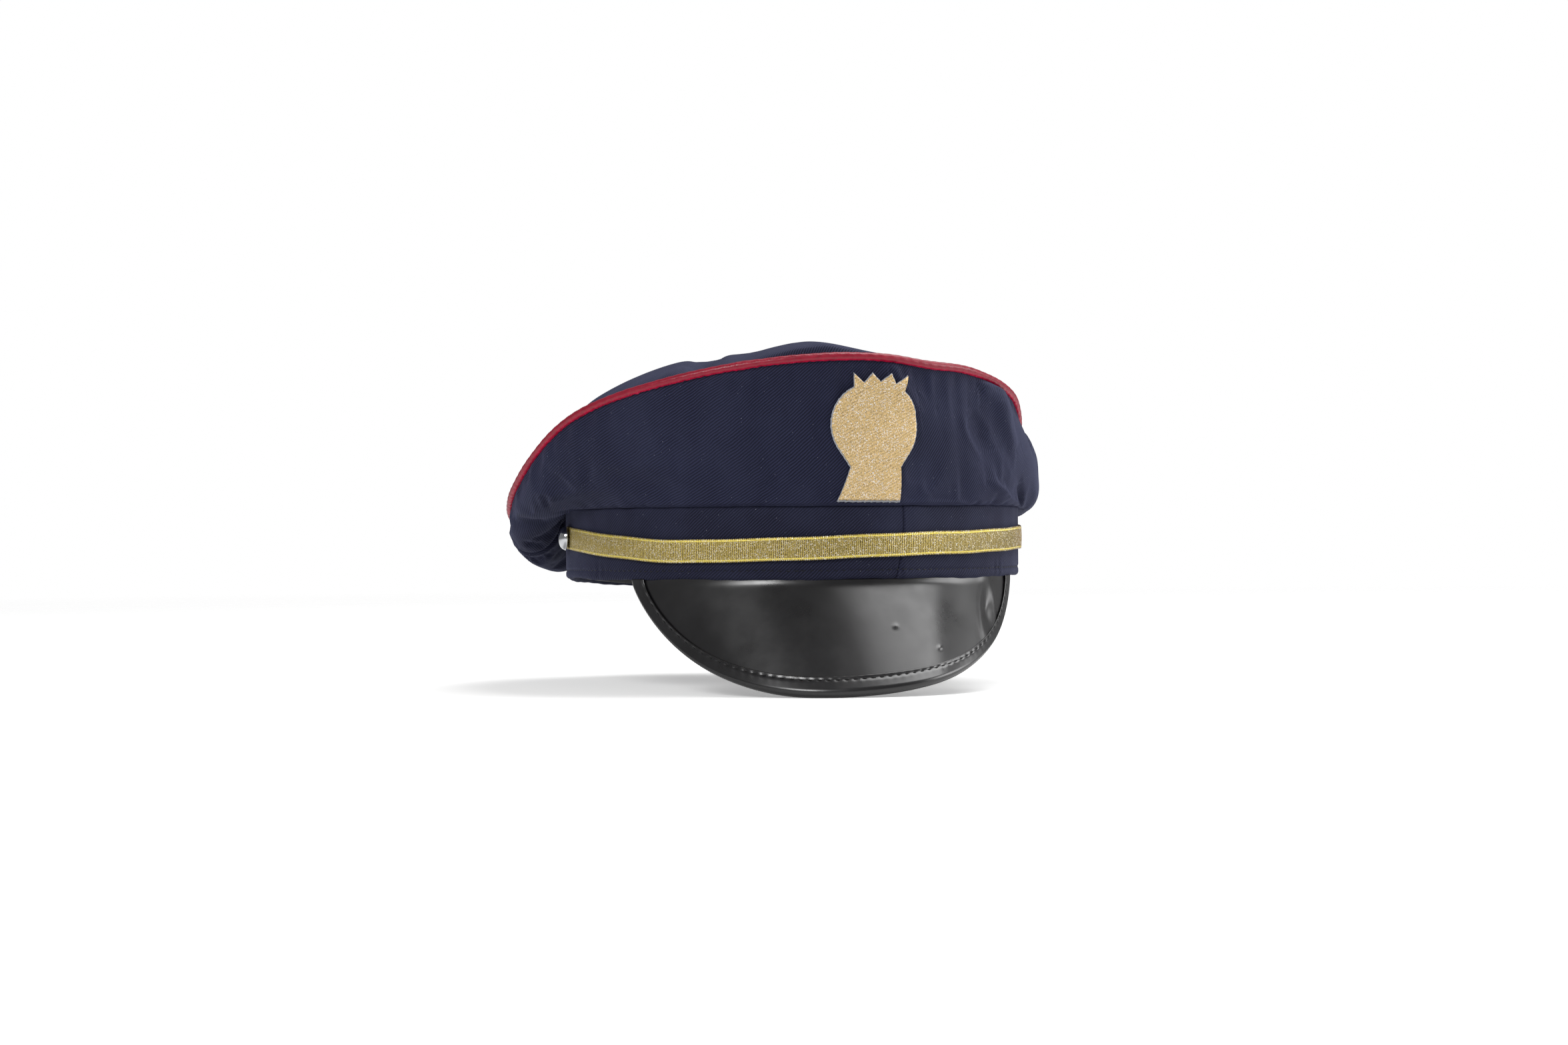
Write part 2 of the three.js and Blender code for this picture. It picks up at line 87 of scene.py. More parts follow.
SETTLE_CLOTH = {
    "quality": 8,
    "mass": 0.2,
    "air_damping": 3,
    "tension_stiffness": 40,
    "compression_stiffness": 40,
    "shear_stiffness": 12,
    "bending_stiffness": 0.6,
}

Array = np.ndarray
Surface = Callable[[Array, Array], Array]


class Body(Enum):
    """The frame's bodies."""

    CAP = "cap"
    RIBBON = "ribbon"


class Hold(Enum):
    """How a sheet of cloth is held."""

    HUNG = "hung"
    STRETCHED = "stretched"
    FOLDED = "folded"
    LAID = "laid"


class Slot(Enum):
    """The record's material slots."""

    TWILL = "navy_twill"
    NAVY_THREAD = "navy_thread"
    BLACK_THREAD = "black_thread"
    VINYL = "black_vinyl"
    PATENT = "black_patent"
    BOARD = "fibre_board"
    BUCKRAM = "buckram"
    SATIN = "crimson_satin"
    CORD = "cotton_cord"
    LAME = "gilt_lame"
    FELT = "badge_felt"
    RIBBON = "gilt_ribbon"
    CHROME = "chrome"


# ---------------------------------------------------------------- curves and surfaces


def smoothstep(value: Array, start: float, end: float) -> Array:
    """A smooth rise from 0 at start to 1 at end."""
    share = np.clip((value - start) / (end - start), 0, 1)
    return share * share * (3 - 2 * share)


def swell(angle: Array, centre: float, spread: float) -> Array:
    """A smooth swelling of 1 at an angle round the head, fading either side of it."""
    away = (np.asarray(angle, float) - centre + 180) % 360 - 180
    return hump(away, spread)


def hump(away: Array, spread: float) -> Array:
    """A smooth hump of 1 where a distance is 0, fading either side of it."""
    return np.exp(-((away / spread) ** 2))


def spline(knots: Array, place: Array, closed: bool) -> Array:
    """A smooth curve through evenly spaced knots.

    Args:
        knots: The values at places 0, 1, 2 and so on.
        place: Where the curve is wanted, counted in knots.
        closed: Whether the last knot leads back to the first.

    Returns:
        One value for each place.
    """
    place = np.asarray(place, float)
    count = len(knots)
    base = np.floor(place).astype(int)
    if not closed:
        base = np.clip(base, 0, count - 2)
    part = (place - base).reshape(place.shape + (1,) * (knots.ndim - 1))
    steps = [base - 1, base, base + 1, base + 2]
    near = [knots[k % count] if closed else knots[np.clip(k, 0, count - 1)] for k in steps]
    before, here, there, after = near
    bend = 2 * before - 5 * here + 4 * there - after
    twist = 3 * here - before - 3 * there + after
    return 0.5 * (2 * here + (there - before) * part + bend * part**2 + twist * part**3)


def wander(place: Array, waves: Sequence[tuple[float, float, float]]) -> Array:
    """An irregular wave: the sum of (size, turns per unit, phase) sines."""
    return sum(size * np.sin(place * turns + phase) for size, turns, phase in waves)


def crossed(columns: Array, rows: Array) -> list[Array]:
    """The column and the row value at each place of a grid."""
    return np.meshgrid(columns, rows, indexing="ij")


def pairs(columns: Array, rows: Array) -> Array:
    """The same two values side by side, as places on a flat cut."""
    return np.stack(crossed(columns, rows), -1)


def run_of(points: Array) -> Array:
    """Distance along a line of points from its first one."""
    return np.concatenate([[0], np.cumsum(np.linalg.norm(np.diff(points, axis=0), axis=1))])


def unit(vectors: Array) -> Array:
    """The same directions with a length of 1."""
    return vectors / np.maximum(np.linalg.norm(vectors, axis=-1, keepdims=True), 1e-12)


def facing(surface: Surface, u: Array, v: Array, steps: tuple[float, float]) -> Array:
    """The direction that a surface faces at each (u, v).

    Args:
        surface: The surface, with u x v pointing out of it.
        u: First coordinates.
        v: Second coordinates.
        steps: How far to step along u and v.

    Returns:
        Unit normals.
    """
    along = surface(u + steps[0], v) - surface(u - steps[0], v)
    across = surface(u, v + steps[1]) - surface(u, v - steps[1])
    return unit(np.cross(along, across))


def rows_between(start: float, end: float, count: int, crowd_start: float, crowd_end: float) -> Array:
    """Values from start to end that lie closer together towards the ends that are crowded.

    Args:
        start: First value.
        end: Last value.
        count: How many values.
        crowd_start: 0 for even spacing at the start, up to 1 for tight spacing.
        crowd_end: The same at the end.

    Returns:
        The values.
    """
    even = np.linspace(0, 1, count)
    density = 1 + 6 * crowd_start * np.exp(-even / 0.08) + 6 * crowd_end * np.exp(-(1 - even) / 0.08)
    place = np.concatenate([[0], np.cumsum(1 / ((density[1:] + density[:-1]) / 2))])
    return start + (end - start) * place / place[-1]


@dataclass(frozen=True)
class HeadForm:
    """The cap's shape: where its band, the crown's edge and the crown's cloth lie.

    Its sizes come from the frame's boxes; only the way that the edge rises and falls, and the cloth's
    fullness, are set here.
    """

    half_width: float
    half_length: float
    band_outside: float
    band_height: float
    back_droop: float
    edge_centre: tuple[float, float]
    edge_half: tuple[float, float]
    top: float
    edge_sags: tuple[tuple[float, float, float], ...] = ((24, 8, 1.3 * MM), (76, 11, 4.5 * MM))
    droop_from: float = 85
    droop_to: float = 175
    edge_rise: tuple[float, ...] = (13, 5, -6.5, 7, 35, 50, 57, 54.5, 44, 28.5, 22, 17)
    tip_centre: tuple[float, float] = (-6 * MM, -2 * MM)
    tip_fullness: float = 3
    piping_radius: float = 1.6 * MM

    @classmethod
    def from_frame(cls) -> "HeadForm":
        """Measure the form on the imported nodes.

        Returns:
            The form.
        """
        piping = cls.piping_radius
        low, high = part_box("sweatband")
        half_width = (high.x - low.x) / 2 - VINYL
        half_length = (high.y - low.y) / 2 - VINYL
        band_low, band_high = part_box("band_cover")
        edge_low, edge_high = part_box("piping_cover")
        middle = (edge_low + edge_high) / 2
        half = (edge_high - edge_low) / 2
        return cls(
            half_width=half_width,
            half_length=half_length,
            band_outside=(band_high.x - band_low.x) / 2 - half_width,
            band_height=band_high.z,
            back_droop=-band_low.z,
            edge_centre=(middle.x, middle.y),
            edge_half=(half.x - piping, half.y - piping),
            top=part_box("crown_tip")[1].z,
        )

    @staticmethod
    def outward(angle: Array) -> Array:
        """Horizontal direction away from the head."""
        turn = np.radians(angle)
        return np.stack([np.sin(turn), -np.cos(turn), 0 * turn], -1)

    def band(self, angle: Array, out: Array, height: Array) -> Array:
        """A point of the band.

        Args:
            angle: Degrees round the head.
            out: Distance outside the sweatband's inner face.
            height: Height above the band's lower edge.

        Returns:
            Points, with the unstiffened back hanging lower.
        """
        angle, out, height = np.broadcast_arrays(np.asarray(angle, float), out, height)
        turn = np.radians(angle)
        round_it = np.abs((angle + 180) % 360 - 180)
        droop = self.back_droop * smoothstep(round_it, self.droop_from, self.droop_to)
        x = (self.half_width + out) * np.sin(turn)
        y = -(self.half_length + out) * np.cos(turn)
        return np.stack([x, y, height - droop], -1)

    def edge(self, angle: Array, out: Array = 0.0, up: Array = 0.0) -> Array:
        """The centre of the piping, with a step outward and a step up from it.

        Args:
            angle: Degrees round the head.
            out: Step outward.
            up: Step up.

        Returns:
            Points.
        """
        angle, out, up = np.broadcast_arrays(np.asarray(angle, float), out, up)
        count = len(self.edge_rise)
        knot = np.radians(-180 + 360 * np.arange(count) / count)
        x = self.edge_centre[0] + self.edge_half[0] * np.sin(knot)
        y = self.edge_centre[1] - self.edge_half[1] * np.cos(knot)
        z = self.band_height + np.array(self.edge_rise) * MM
        line = spline(np.stack([x, y, z], -1), (angle + 180) % 360 * count / 360, closed=True)
        line[..., 2] -= sum(depth * swell(angle, centre, spread) for centre, spread, depth in self.edge_sags)
        return line + self.outward(angle) * out[..., None] + np.array([0, 0, 1]) * up[..., None]

    def wall(self, angle: Array, share: Array) -> Array:
        """The outer face of the crown's side, from the band at share 0 to the piping at share 1.

        Args:
            angle: Degrees round the head.
            share: Share of the way up.

        Returns:
            Points.
        """
        angle, share = np.broadcast_arrays(np.asarray(angle, float), np.asarray(share, float))
        rear = swell(angle, -122, 32)
        left = swell(angle, 95, 40)
        back = swell(angle, 180, 45)
        up = np.array([0, 0, 1])
        out = self.outward(angle)
        foot = self.band(angle, self.band_outside + GAP, self.band_height + GAP)
        head = self.edge(angle, -0.5 * MM, -self.piping_radius - 2 * GAP)
        low = foot + out * ((4 + 6 * rear + 3 * left + 10 * back) * MM)[..., None]
        low = low + up * ((16 - 53 * rear - 24 * left - 22 * back) * MM)[..., None]
        high = head + out * ((3 + 6 * rear + 19 * left + 8 * back) * MM)[..., None]
        high = high - up * ((20 - 18 * rear + left + 6 * back) * MM)[..., None]
        v = share[..., None]
        return (1 - v) ** 3 * foot + 3 * (1 - v) ** 2 * v * low + 3 * (1 - v) * v**2 * high + v**3 * head

    def wall_facing(self, angle: Array, share: Array) -> Array:
        """The direction that the crown's side faces."""
        return facing(self.wall, angle, share, (0.05, 1e-3))


# ---------------------------------------------------------------- mesh making


def stand_alone(name: str, points: Array, faces: Sequence[Sequence[int]]) -> Object:
    """Put a smooth mesh of these corners and faces in the scene.

    Args:
        name: Its name.
        points: Its corners.
        faces: The corners of each face.

    Returns:
        The object.
    """
    made = bpy.data.meshes.new(name)
    made.from_pydata(points.reshape(-1, 3), [], faces)
    made.shade_smooth()
    piece = bpy.data.objects.new(name, made)
    bpy.context.scene.collection.objects.link(piece)
    return piece


def discard(piece: Object) -> None:
    """Take a working piece and its mesh away.

    Args:
        piece: The working piece.
    """
    mesh = piece.data
    bpy.data.objects.remove(piece)
    bpy.data.meshes.remove(mesh)


@dataclass
class Grid:
    """A sheet's points in rows, with the places of its cloth on the flat cut.

    Attributes:
        points: Shape (columns, rows, 3); columns x rows face outwards.
        cut: Shape (columns, rows, 2) in metres, with one more column where the columns are closed.
        round_columns: Whether the last column joins the first.
        round_rows: Whether the last row joins the first.
        left_out: Shape (columns, rows), true for the squares that are holes.
    """

    points: Array
    cut: Array
    round_columns: bool = False
    round_rows: bool = False
    left_out: Array | None = None

    def flat_area(self) -> float:
        """The area of the flat cut.

        Returns:
            Square metres.
        """
        cut = self.cut
        first, second = cut[1:, 1:] - cut[:-1, :-1], cut[:-1, 1:] - cut[1:, :-1]
        return float(np.abs(first[..., 0] * second[..., 1] - first[..., 1] * second[..., 0]).sum()) / 2

    def mesh(self, name: str) -> Object:
        """Make the sheet as a mesh object with its flat cut as a UV map.

        Args:
            name: Its name.

        Returns:
            The object.
        """
        columns, rows = self.points.shape[:2]
        across = columns if self.round_columns else columns - 1
        along = rows if self.round_rows else rows - 1
        i, j = (a.ravel() for a in crossed(np.arange(across), np.arange(along)))
        if self.left_out is not None:
            kept = ~self.left_out[i, j]
            i, j = i[kept], j[kept]
        corners = [(i, j), (i + 1, j), (i + 1, j + 1), (i, j + 1)]
        faces = np.stack([(a % columns) * rows + b % rows for a, b in corners], -1)
        piece = stand_alone(name, self.points, faces.tolist())
        layer = piece.data.uv_layers.new(name="cut")
        cut_columns, cut_rows = self.cut.shape[:2]
        places = np.stack([self.cut[a % cut_columns, b % cut_rows] for a, b in corners], 1)
        layer.data.foreach_set("uv", places.astype(np.float32).ravel())
        return piece

    def sheet(self, name: str, thickness: float, poled: bool = False) -> Object:
        """Make the sheet and give it its thickness behind its face.

        Args:
            name: Its name.
            thickness: Its thickness.
            poled: Whether a row or column of it is gathered in one point.

        Returns:
            The sheet, with no finish yet.
        """
        piece = self.mesh(name)
        if poled:
            merge_close(piece)
        apply_modifier(piece, "SOLIDIFY", thickness=thickness, offset=-1, use_even_offset=False)
        return piece


def pick(piece: Object) -> None:
    """Make one object the only selected one.

    Args:
        piece: The object.
    """
    bpy.ops.object.select_all(action="DESELECT")
    piece.select_set(True)
    bpy.context.view_layer.objects.active = piece


def merge_close(piece: Object) -> None:
    """Join corners that lie on each other, as at a pole.

    Args:
        piece: The object.
    """
    pick(piece)
    bpy.ops.object.mode_set(mode="EDIT")
    bpy.ops.mesh.select_all(action="SELECT")
    bpy.ops.mesh.remove_doubles(threshold=1e-7)
    bpy.ops.object.mode_set(mode="OBJECT")


def apply_modifier(piece: Object, kind: str, **settings: Any) -> None:
    """Add a modifier with its settings and apply it.

    Args:
        piece: The object.
        kind: The kind of modifier.
        **settings: Its settings.
    """
    pick(piece)
    modifier = piece.modifiers.new(kind.lower(), kind)
    for name, value in settings.items():
        setattr(modifier, name, value)
    bpy.ops.object.modifier_apply(modifier=modifier.name)


def rounded(piece: Object, degrees: float) -> None:
    """Shade a modelled piece smooth except along its sharp edges."""
    pick(piece)
    bpy.ops.object.shade_smooth_by_angle(angle=math.radians(degrees))


def drape(points: Array, pinned: Array, closed: bool, fullness: float, air: float) -> Array:
    """Let a coarse sheet settle as slack cloth, held along its pinned points.

    Args:
        points: Shape (columns, rows, 3).
        pinned: Shape (columns, rows), 1 where the cloth is sewn down and 0 where it is free.
        closed: Whether the last column joins the first.
        fullness: How much larger the cloth is than the shape that it is held to.
        air: How firmly it is filled out from inside.

    Returns:
        How far each point moved, shape (columns, rows, 3).
    """
    flat = np.zeros(points.shape[:2] + (2,))
    cloth = Grid(points, flat, round_columns=closed).mesh("settling")
    group = cloth.vertex_groups.new(name="sewn")
    weights = pinned.ravel()
    for weight in np.unique(weights):
        group.add(np.flatnonzero(weights == weight).tolist(), float(weight), "REPLACE")
    modifier = cloth.modifiers.new("settle", "CLOTH")
    settings = modifier.settings
    settings.vertex_group_mass = "sewn"
    for name, value in SETTLE_CLOTH.items():
        setattr(settings, name, value)
    settings.shrink_min = -fullness
    settings.shrink_max = -fullness
    settings.use_pressure = True
    settings.uniform_pressure_force = air
    settings.effector_weights.gravity = 0.6
    modifier.collision_settings.use_collision = False
    scene = bpy.context.scene
    modifier.point_cache.frame_start = 1
    modifier.point_cache.frame_end = SETTLE_STEPS
    for step in range(1, SETTLE_STEPS + 1):
        scene.frame_set(step)
    settled = cloth.evaluated_get(bpy.context.evaluated_depsgraph_get())
    place = np.zeros(points.size, np.float32)
    settled.data.vertices.foreach_get("co", place)
    scene.frame_set(1)
    discard(cloth)
    return place.reshape(points.shape).astype(float) - points


def resample(grid: Array, columns: Array, rows: Array, closed: bool) -> Array:
    """Read a coarse grid smoothly at finer columns and rows, both given as shares from 0 to 1.

    Args:
        grid: The coarse values.
        columns: Wanted columns.
        rows: Wanted rows.
        closed: Whether the columns go all the way round.

    Returns:
        The finer values.
    """
    last = len(grid) if closed else len(grid) - 1
    wide = spline(grid, columns * last, closed)
    tall = spline(wide.swapaxes(0, 1), rows * (grid.shape[1] - 1), closed=False)
    return tall.swapaxes(0, 1)


def lengths(points: Array, axis: int) -> Array:
    """Distance along a grid's columns (axis 0) or rows (axis 1) from its first one.

    Args:
        points: Shape (columns, rows, 3).
        axis: 0 or 1.

    Returns:
        Distances, shape (columns, rows).
    """
    steps = np.linalg.norm(np.diff(points, axis=axis), axis=-1)
    start = np.zeros_like(np.take(steps, [0], axis=axis))
    return np.concatenate([start, np.cumsum(steps, axis=axis)], axis=axis)


# ---------------------------------------------------------------- finishes


def paint(code: str) -> tuple[float, float, float, float]:
    """A screen colour such as "1b1d33" as the renderer's linear colour.

    Args:
        code: Two hexadecimal digits each of red, green and blue.

    Returns:
        The colour, opaque.
    """
    parts = [int(code[i : i + 2], 16) / 255 for i in (0, 2, 4)]
    linear = [p / 12.92 if p <= 0.04045 else ((p + 0.055) / 1.055) ** 2.4 for p in parts]
    return (*linear, 1.0)


class Bench:
    """Adds nodes to one shader tree and joins them."""

    def __init__(self, tree: NodeTree) -> None:
        """Work on a tree."""
        self.tree = tree

    def put(self, socket: NodeSocket, value: Any) -> None:
        """Join another node's socket to this one, or set its own value.

        Args:
            socket: An input.
            value: A value, or another node's output.
        """
        if isinstance(value, NodeSocket):
            self.tree.links.new(value, socket)
        else:
            socket.default_value = value

    def node(self, kind: str, inputs: dict[Any, Any] | None = None, **settings: Any) -> Node:
        """Add a node.

        Args:
            kind: Its type, without the leading "ShaderNode".
            inputs: Values or sockets for its inputs, by name or number.
            **settings: Its own properties.

        Returns:
            The node.
        """
        made = self.tree.nodes.new("ShaderNode" + kind)
        for name, value in settings.items():
            setattr(made, name, value)
        for key, value in (inputs or {}).items():
            self.put(made.inputs[key], value)
        return made

    def sum(self, operation: str, *values: Any) -> NodeSocket:
        """A Math node's result."""
        return self.node("Math", dict(enumerate(values)), operation=operation).outputs[0]

    def spread(self, value: Any, low: float, high: float, to_low: float = 0, to_high: float = 1) -> Any:
        """Map a value from low..high to to_low..to_high, held at the ends."""
        inputs = dict(enumerate([value, low, high, to_low, to_high]))
        return self.node("MapRange", inputs, clamp=True).outputs[0]

    def mix(self, share: Any, first: Any, second: Any) -> NodeSocket:
        """Mix two colours."""
        return self.node("Mix", {0: share, 6: first, 7: second}, data_type="RGBA").outputs[2]

    def wave(self, place: Any, turns: Any) -> NodeSocket:
        """A sine between 0 and 1."""
        sine = self.sum("SINE", self.sum("MULTIPLY", place, turns))
        return self.sum("MULTIPLY_ADD", sine, 0.5, 0.5)

    def noise(self, place: Any, scale: float, detail: float = 3, rough: float = 0.5) -> NodeSocket:
        """A cloudy value from 0 to 1."""
        inputs = {"Vector": place, "Scale": scale, "Detail": detail, "Roughness": rough}
        return self.node("TexNoise", inputs).outputs[0]

    def cells(self, place: Any, scale: Any) -> Node:
        """Scattered cells: outputs the distance to the nearest centre, and its random colour."""
        return self.node("TexVoronoi", {"Vector": place, "Scale": scale})

    def bump(self, height: Any, depth: float, strength: float = 1) -> NodeSocket:
        """A normal from a height of 0 to 1 that stands for a real depth."""
        return self.node("Bump", {"Height": height, "Distance": depth, "Strength": strength}).outputs[0]


def node_group(
    name: str, inputs: dict[str, tuple[str, Any]], outputs: dict[str, str]
) -> tuple[NodeTree, Bench, Node, Node]:
    """Start a shader node group.

    Args:
        name: Its name.
        inputs: Socket name to (kind, value), with kind such as "Float" or "Vector".
        outputs: Socket name to kind.

    Returns:
        The group, a bench for it, and its input and output nodes.
    """
    group = bpy.data.node_groups.new(name, "ShaderNodeTree")
    for label, (kind, value) in inputs.items():
        socket = group.interface.new_socket(label, in_out="INPUT", socket_type="NodeSocket" + kind)
        if value is not None:
            socket.default_value = value
    for label, kind in outputs.items():
        group.interface.new_socket(label, in_out="OUTPUT", socket_type="NodeSocket" + kind)
    enter = group.nodes.new("NodeGroupInput")
    leave = group.nodes.new("NodeGroupOutput")
    return group, Bench(group), enter, leave


def twill_group() -> NodeTree:
    """Diagonal weave lines on a flat cut, with the yarn floats along each line.

    Returns:
        The group.
    """
    inputs = {
        "Cut": ("Vector", None),
        "Pitch": ("Float", 0.95 * MM),
        "Angle": ("Float", 0.6),
        "Waver": ("Float", 0.5),
    }
    group, bench, enter, leave = node_group("twill weave", inputs, {"Height": "Float", "Line": "Float"})
    cut = enter.outputs["Cut"]
    turned = bench.node(
        "VectorRotate",
        {"Vector": cut, "Angle": bench.sum("MULTIPLY", enter.outputs["Angle"], -1)},
        rotation_type="Z_AXIS",
    ).outputs[0]
    parts = bench.node("SeparateXYZ", {0: turned})
    pitch = enter.outputs["Pitch"]
    waver = bench.sum("SUBTRACT", bench.noise(cut, 260, 2), 0.5)
    across = bench.sum("DIVIDE", parts.outputs[1], pitch)
    across = bench.sum("ADD", across, bench.sum("MULTIPLY", waver, enter.outputs["Waver"]))
    line = bench.wave(across, math.tau)
    along = bench.sum("DIVIDE", parts.outputs[0], pitch)
    stagger = bench.sum("MULTIPLY", bench.sum("FLOOR", across), 0.37)
    floats = bench.wave(bench.sum("ADD", along, stagger), math.tau * 1.3)
    height = bench.sum("MULTIPLY", line, bench.sum("MULTIPLY_ADD", floats, 0.35, 0.65))
    bench.put(leave.inputs["Height"], height)
    bench.put(leave.inputs["Line"], line)
    return group


def speck_group() -> NodeTree:
    """Sparse round specks, such as lint or painted glints.

    Returns:
        The group.
    """
    inputs = {
        "Place": ("Vector", None),
        "Density": ("Float", 300.0),
        "Size": ("Float", 0.06),
        "Share": ("Float", 0.5),
    }
    group, bench, enter, leave = node_group("scattered specks", inputs, {"Mask": "Float", "Random": "Float"})
    cells = bench.cells(enter.outputs["Place"], enter.outputs["Density"])
    random = bench.node("SeparateColor", {0: cells.outputs["Color"]})
    chosen = bench.sum("LESS_THAN", random.outputs[0], enter.outputs["Share"])
    edge = bench.sum("SUBTRACT", enter.outputs["Size"], cells.outputs["Distance"])
    round_it = bench.sum("MULTIPLY", edge, 40)
    round_it.node.use_clamp = True
    bench.put(leave.inputs["Mask"], bench.sum("MULTIPLY", round_it, chosen))
    bench.put(leave.inputs["Random"], random.outputs[1])
    return group


def glint_group() -> NodeTree:
    """Fine metallic flakes: every cell is its own brightness, and a few of them are picked out for painted
    glints.

    Returns:
        The group.
    """
    inputs = {"Place": ("Vector", None), "Density": ("Float", 1800.0), "Flash": ("Float", 0.9)}
    outputs = {"Value": "Float", "Flash": "Float", "Height": "Float"}
    group, bench, enter, leave = node_group("metal flakes", inputs, outputs)
    place = enter.outputs["Place"]
    cells = bench.cells(place, enter.outputs["Density"])
    random = bench.node("SeparateColor", {0: cells.outputs["Color"]})
    patch = bench.noise(place, 320, 3, 0.6)
    flash = bench.sum("ADD", random.outputs[1], bench.sum("MULTIPLY_ADD", patch, 0.5, -0.25))
    bench.put(leave.inputs["Value"], random.outputs[0])
    bench.put(leave.inputs["Flash"], bench.sum("GREATER_THAN", flash, enter.outputs["Flash"]))
    rise = bench.sum("MULTIPLY", bench.sum("SUBTRACT", 1, cells.outputs["Distance"]), random.outputs[2])
    bench.put(leave.inputs["Height"], rise)
    return group


class Groups:
    """The shader groups that several finishes share, built once."""

    twill: NodeTree
    specks: NodeTree
    flakes: NodeTree

    @classmethod
    def build(cls) -> None:
        """Make each shared group."""
        cls.twill = twill_group()
        cls.specks = speck_group()
        cls.flakes = glint_group()


def use(bench: Bench, group: NodeTree, **inputs: Any) -> Node:
    """Place a shared group with its values.

    Args:
        bench: Where it goes.
        group: The group.
        **inputs: Values or sockets for its inputs.

    Returns:
        The placed node.
    """
    made = bench.tree.nodes.new("ShaderNodeGroup")
    made.node_tree = group
    for name, value in inputs.items():
        bench.put(made.inputs[name], value)
    return made


@dataclass(frozen=True)
class Finish:
    """A named surface finish. Each kind lays out its own nodes."""

    name: str

    def begin(self, **constants: Any) -> tuple[Material, Bench, Node]:
        """Start a material.

        Args:
            **constants: Values for the shader's own sockets, with _ for spaces.

        Returns:
            The material, a bench for it, and its shader.
        """
        material = bpy.data.materials.new(self.name)
        material.use_nodes = True
        bench = Bench(material.node_tree)
        shader = material.node_tree.nodes["Principled BSDF"]
        for label, value in constants.items():
            shader.inputs[label.replace("_", " ")].default_value = value
        return material, bench, shader

    def cut(self, bench: Bench) -> NodeSocket:
        """Places on the piece's flat cut, in metres."""
        return bench.node("UVMap", uv_map="cut").outputs[0]

    def place(self, bench: Bench) -> NodeSocket:
        """Places in the piece's own frame, in metres."""
        return bench.node("TexCoord").outputs["Object"]

    def end(self, bench: Bench, shader: Node, colour: Any, roughness: Any, normal: Any) -> None:
        """Join what every finish has to its shader.

        Args:
            bench: The material's bench.
            shader: Its shader.
            colour: Its colour over the surface.
            roughness: Its roughness over the surface.
            normal: Its surface's direction.
        """
        for label, value in (("Base Color", colour), ("Roughness", roughness), ("Normal", normal)):
            bench.put(shader.inputs[label], value)

    def material(self) -> Material:
        """Make the material."""
        raise NotImplementedError


@dataclass(frozen=True)
class Twill(Finish):
    """Brushed polyester twill with lint on it, its weave lines coloured with painted shade and painted
    highlights.
    """

    angle: float = 37
    pitch: float = 0.95 * MM
    # The groove colour is painted shade between the weave's ridges, and the ridge colour a painted highlight
    # on them.
    groove: str = "0d0f1f"
    lit_ridge: str = "282b48"
    dusty: str = "343850"
    lint: str = "b9bccb"

    def material(self) -> Material:
        """Weave lines with painted shade in their grooves and a painted highlight on their ridges, broad
        drifts of tone, and specks of lint.

        Returns:
            The material.
        """
        material, bench, shader = self.begin(
            Specular_IOR_Level=0.25, Sheen_Weight=0.2, Sheen_Roughness=0.45, Sheen_Tint=paint("8a90c0")
        )
        cut = self.cut(bench)
        place = self.place(bench)
        weave = use(bench, Groups.twill, Cut=cut, Pitch=self.pitch, Angle=math.radians(self.angle), Waver=0.5)
        fuzz = bench.noise(cut, 2600, 3, 0.7)
        line = bench.sum("MULTIPLY", weave.outputs["Height"], bench.spread(fuzz, 0.3, 0.7, 0.6, 1.15))
        # Painted shade in the grooves and a painted highlight on the ridges, following the weave's height.
        colour = bench.mix(line, paint(self.groove), paint(self.lit_ridge))
        drift = bench.noise(place, 26, 4, 0.6)
        bloom = bench.spread(drift, 0.45, 0.75, 0, 0.3)
        colour = bench.mix(bloom, colour, paint(self.dusty))
        specks = use(bench, Groups.specks, Place=cut, Density=620.0, Size=0.07, Share=0.4)
        glow = bench.spread(specks.outputs["Random"], 0, 1, 0.1, 0.75)
        bright = bench.sum("MULTIPLY", specks.outputs["Mask"], glow)
        colour = bench.mix(bright, colour, paint(self.lint))
        height = bench.sum("ADD", weave.outputs["Height"], bench.sum("MULTIPLY", fuzz, 0.35))
        rough = bench.spread(line, 0, 1, 0.95, 0.72)
        self.end(bench, shader, colour, rough, bench.bump(height, 0.1 * MM, 0.8))
        return material


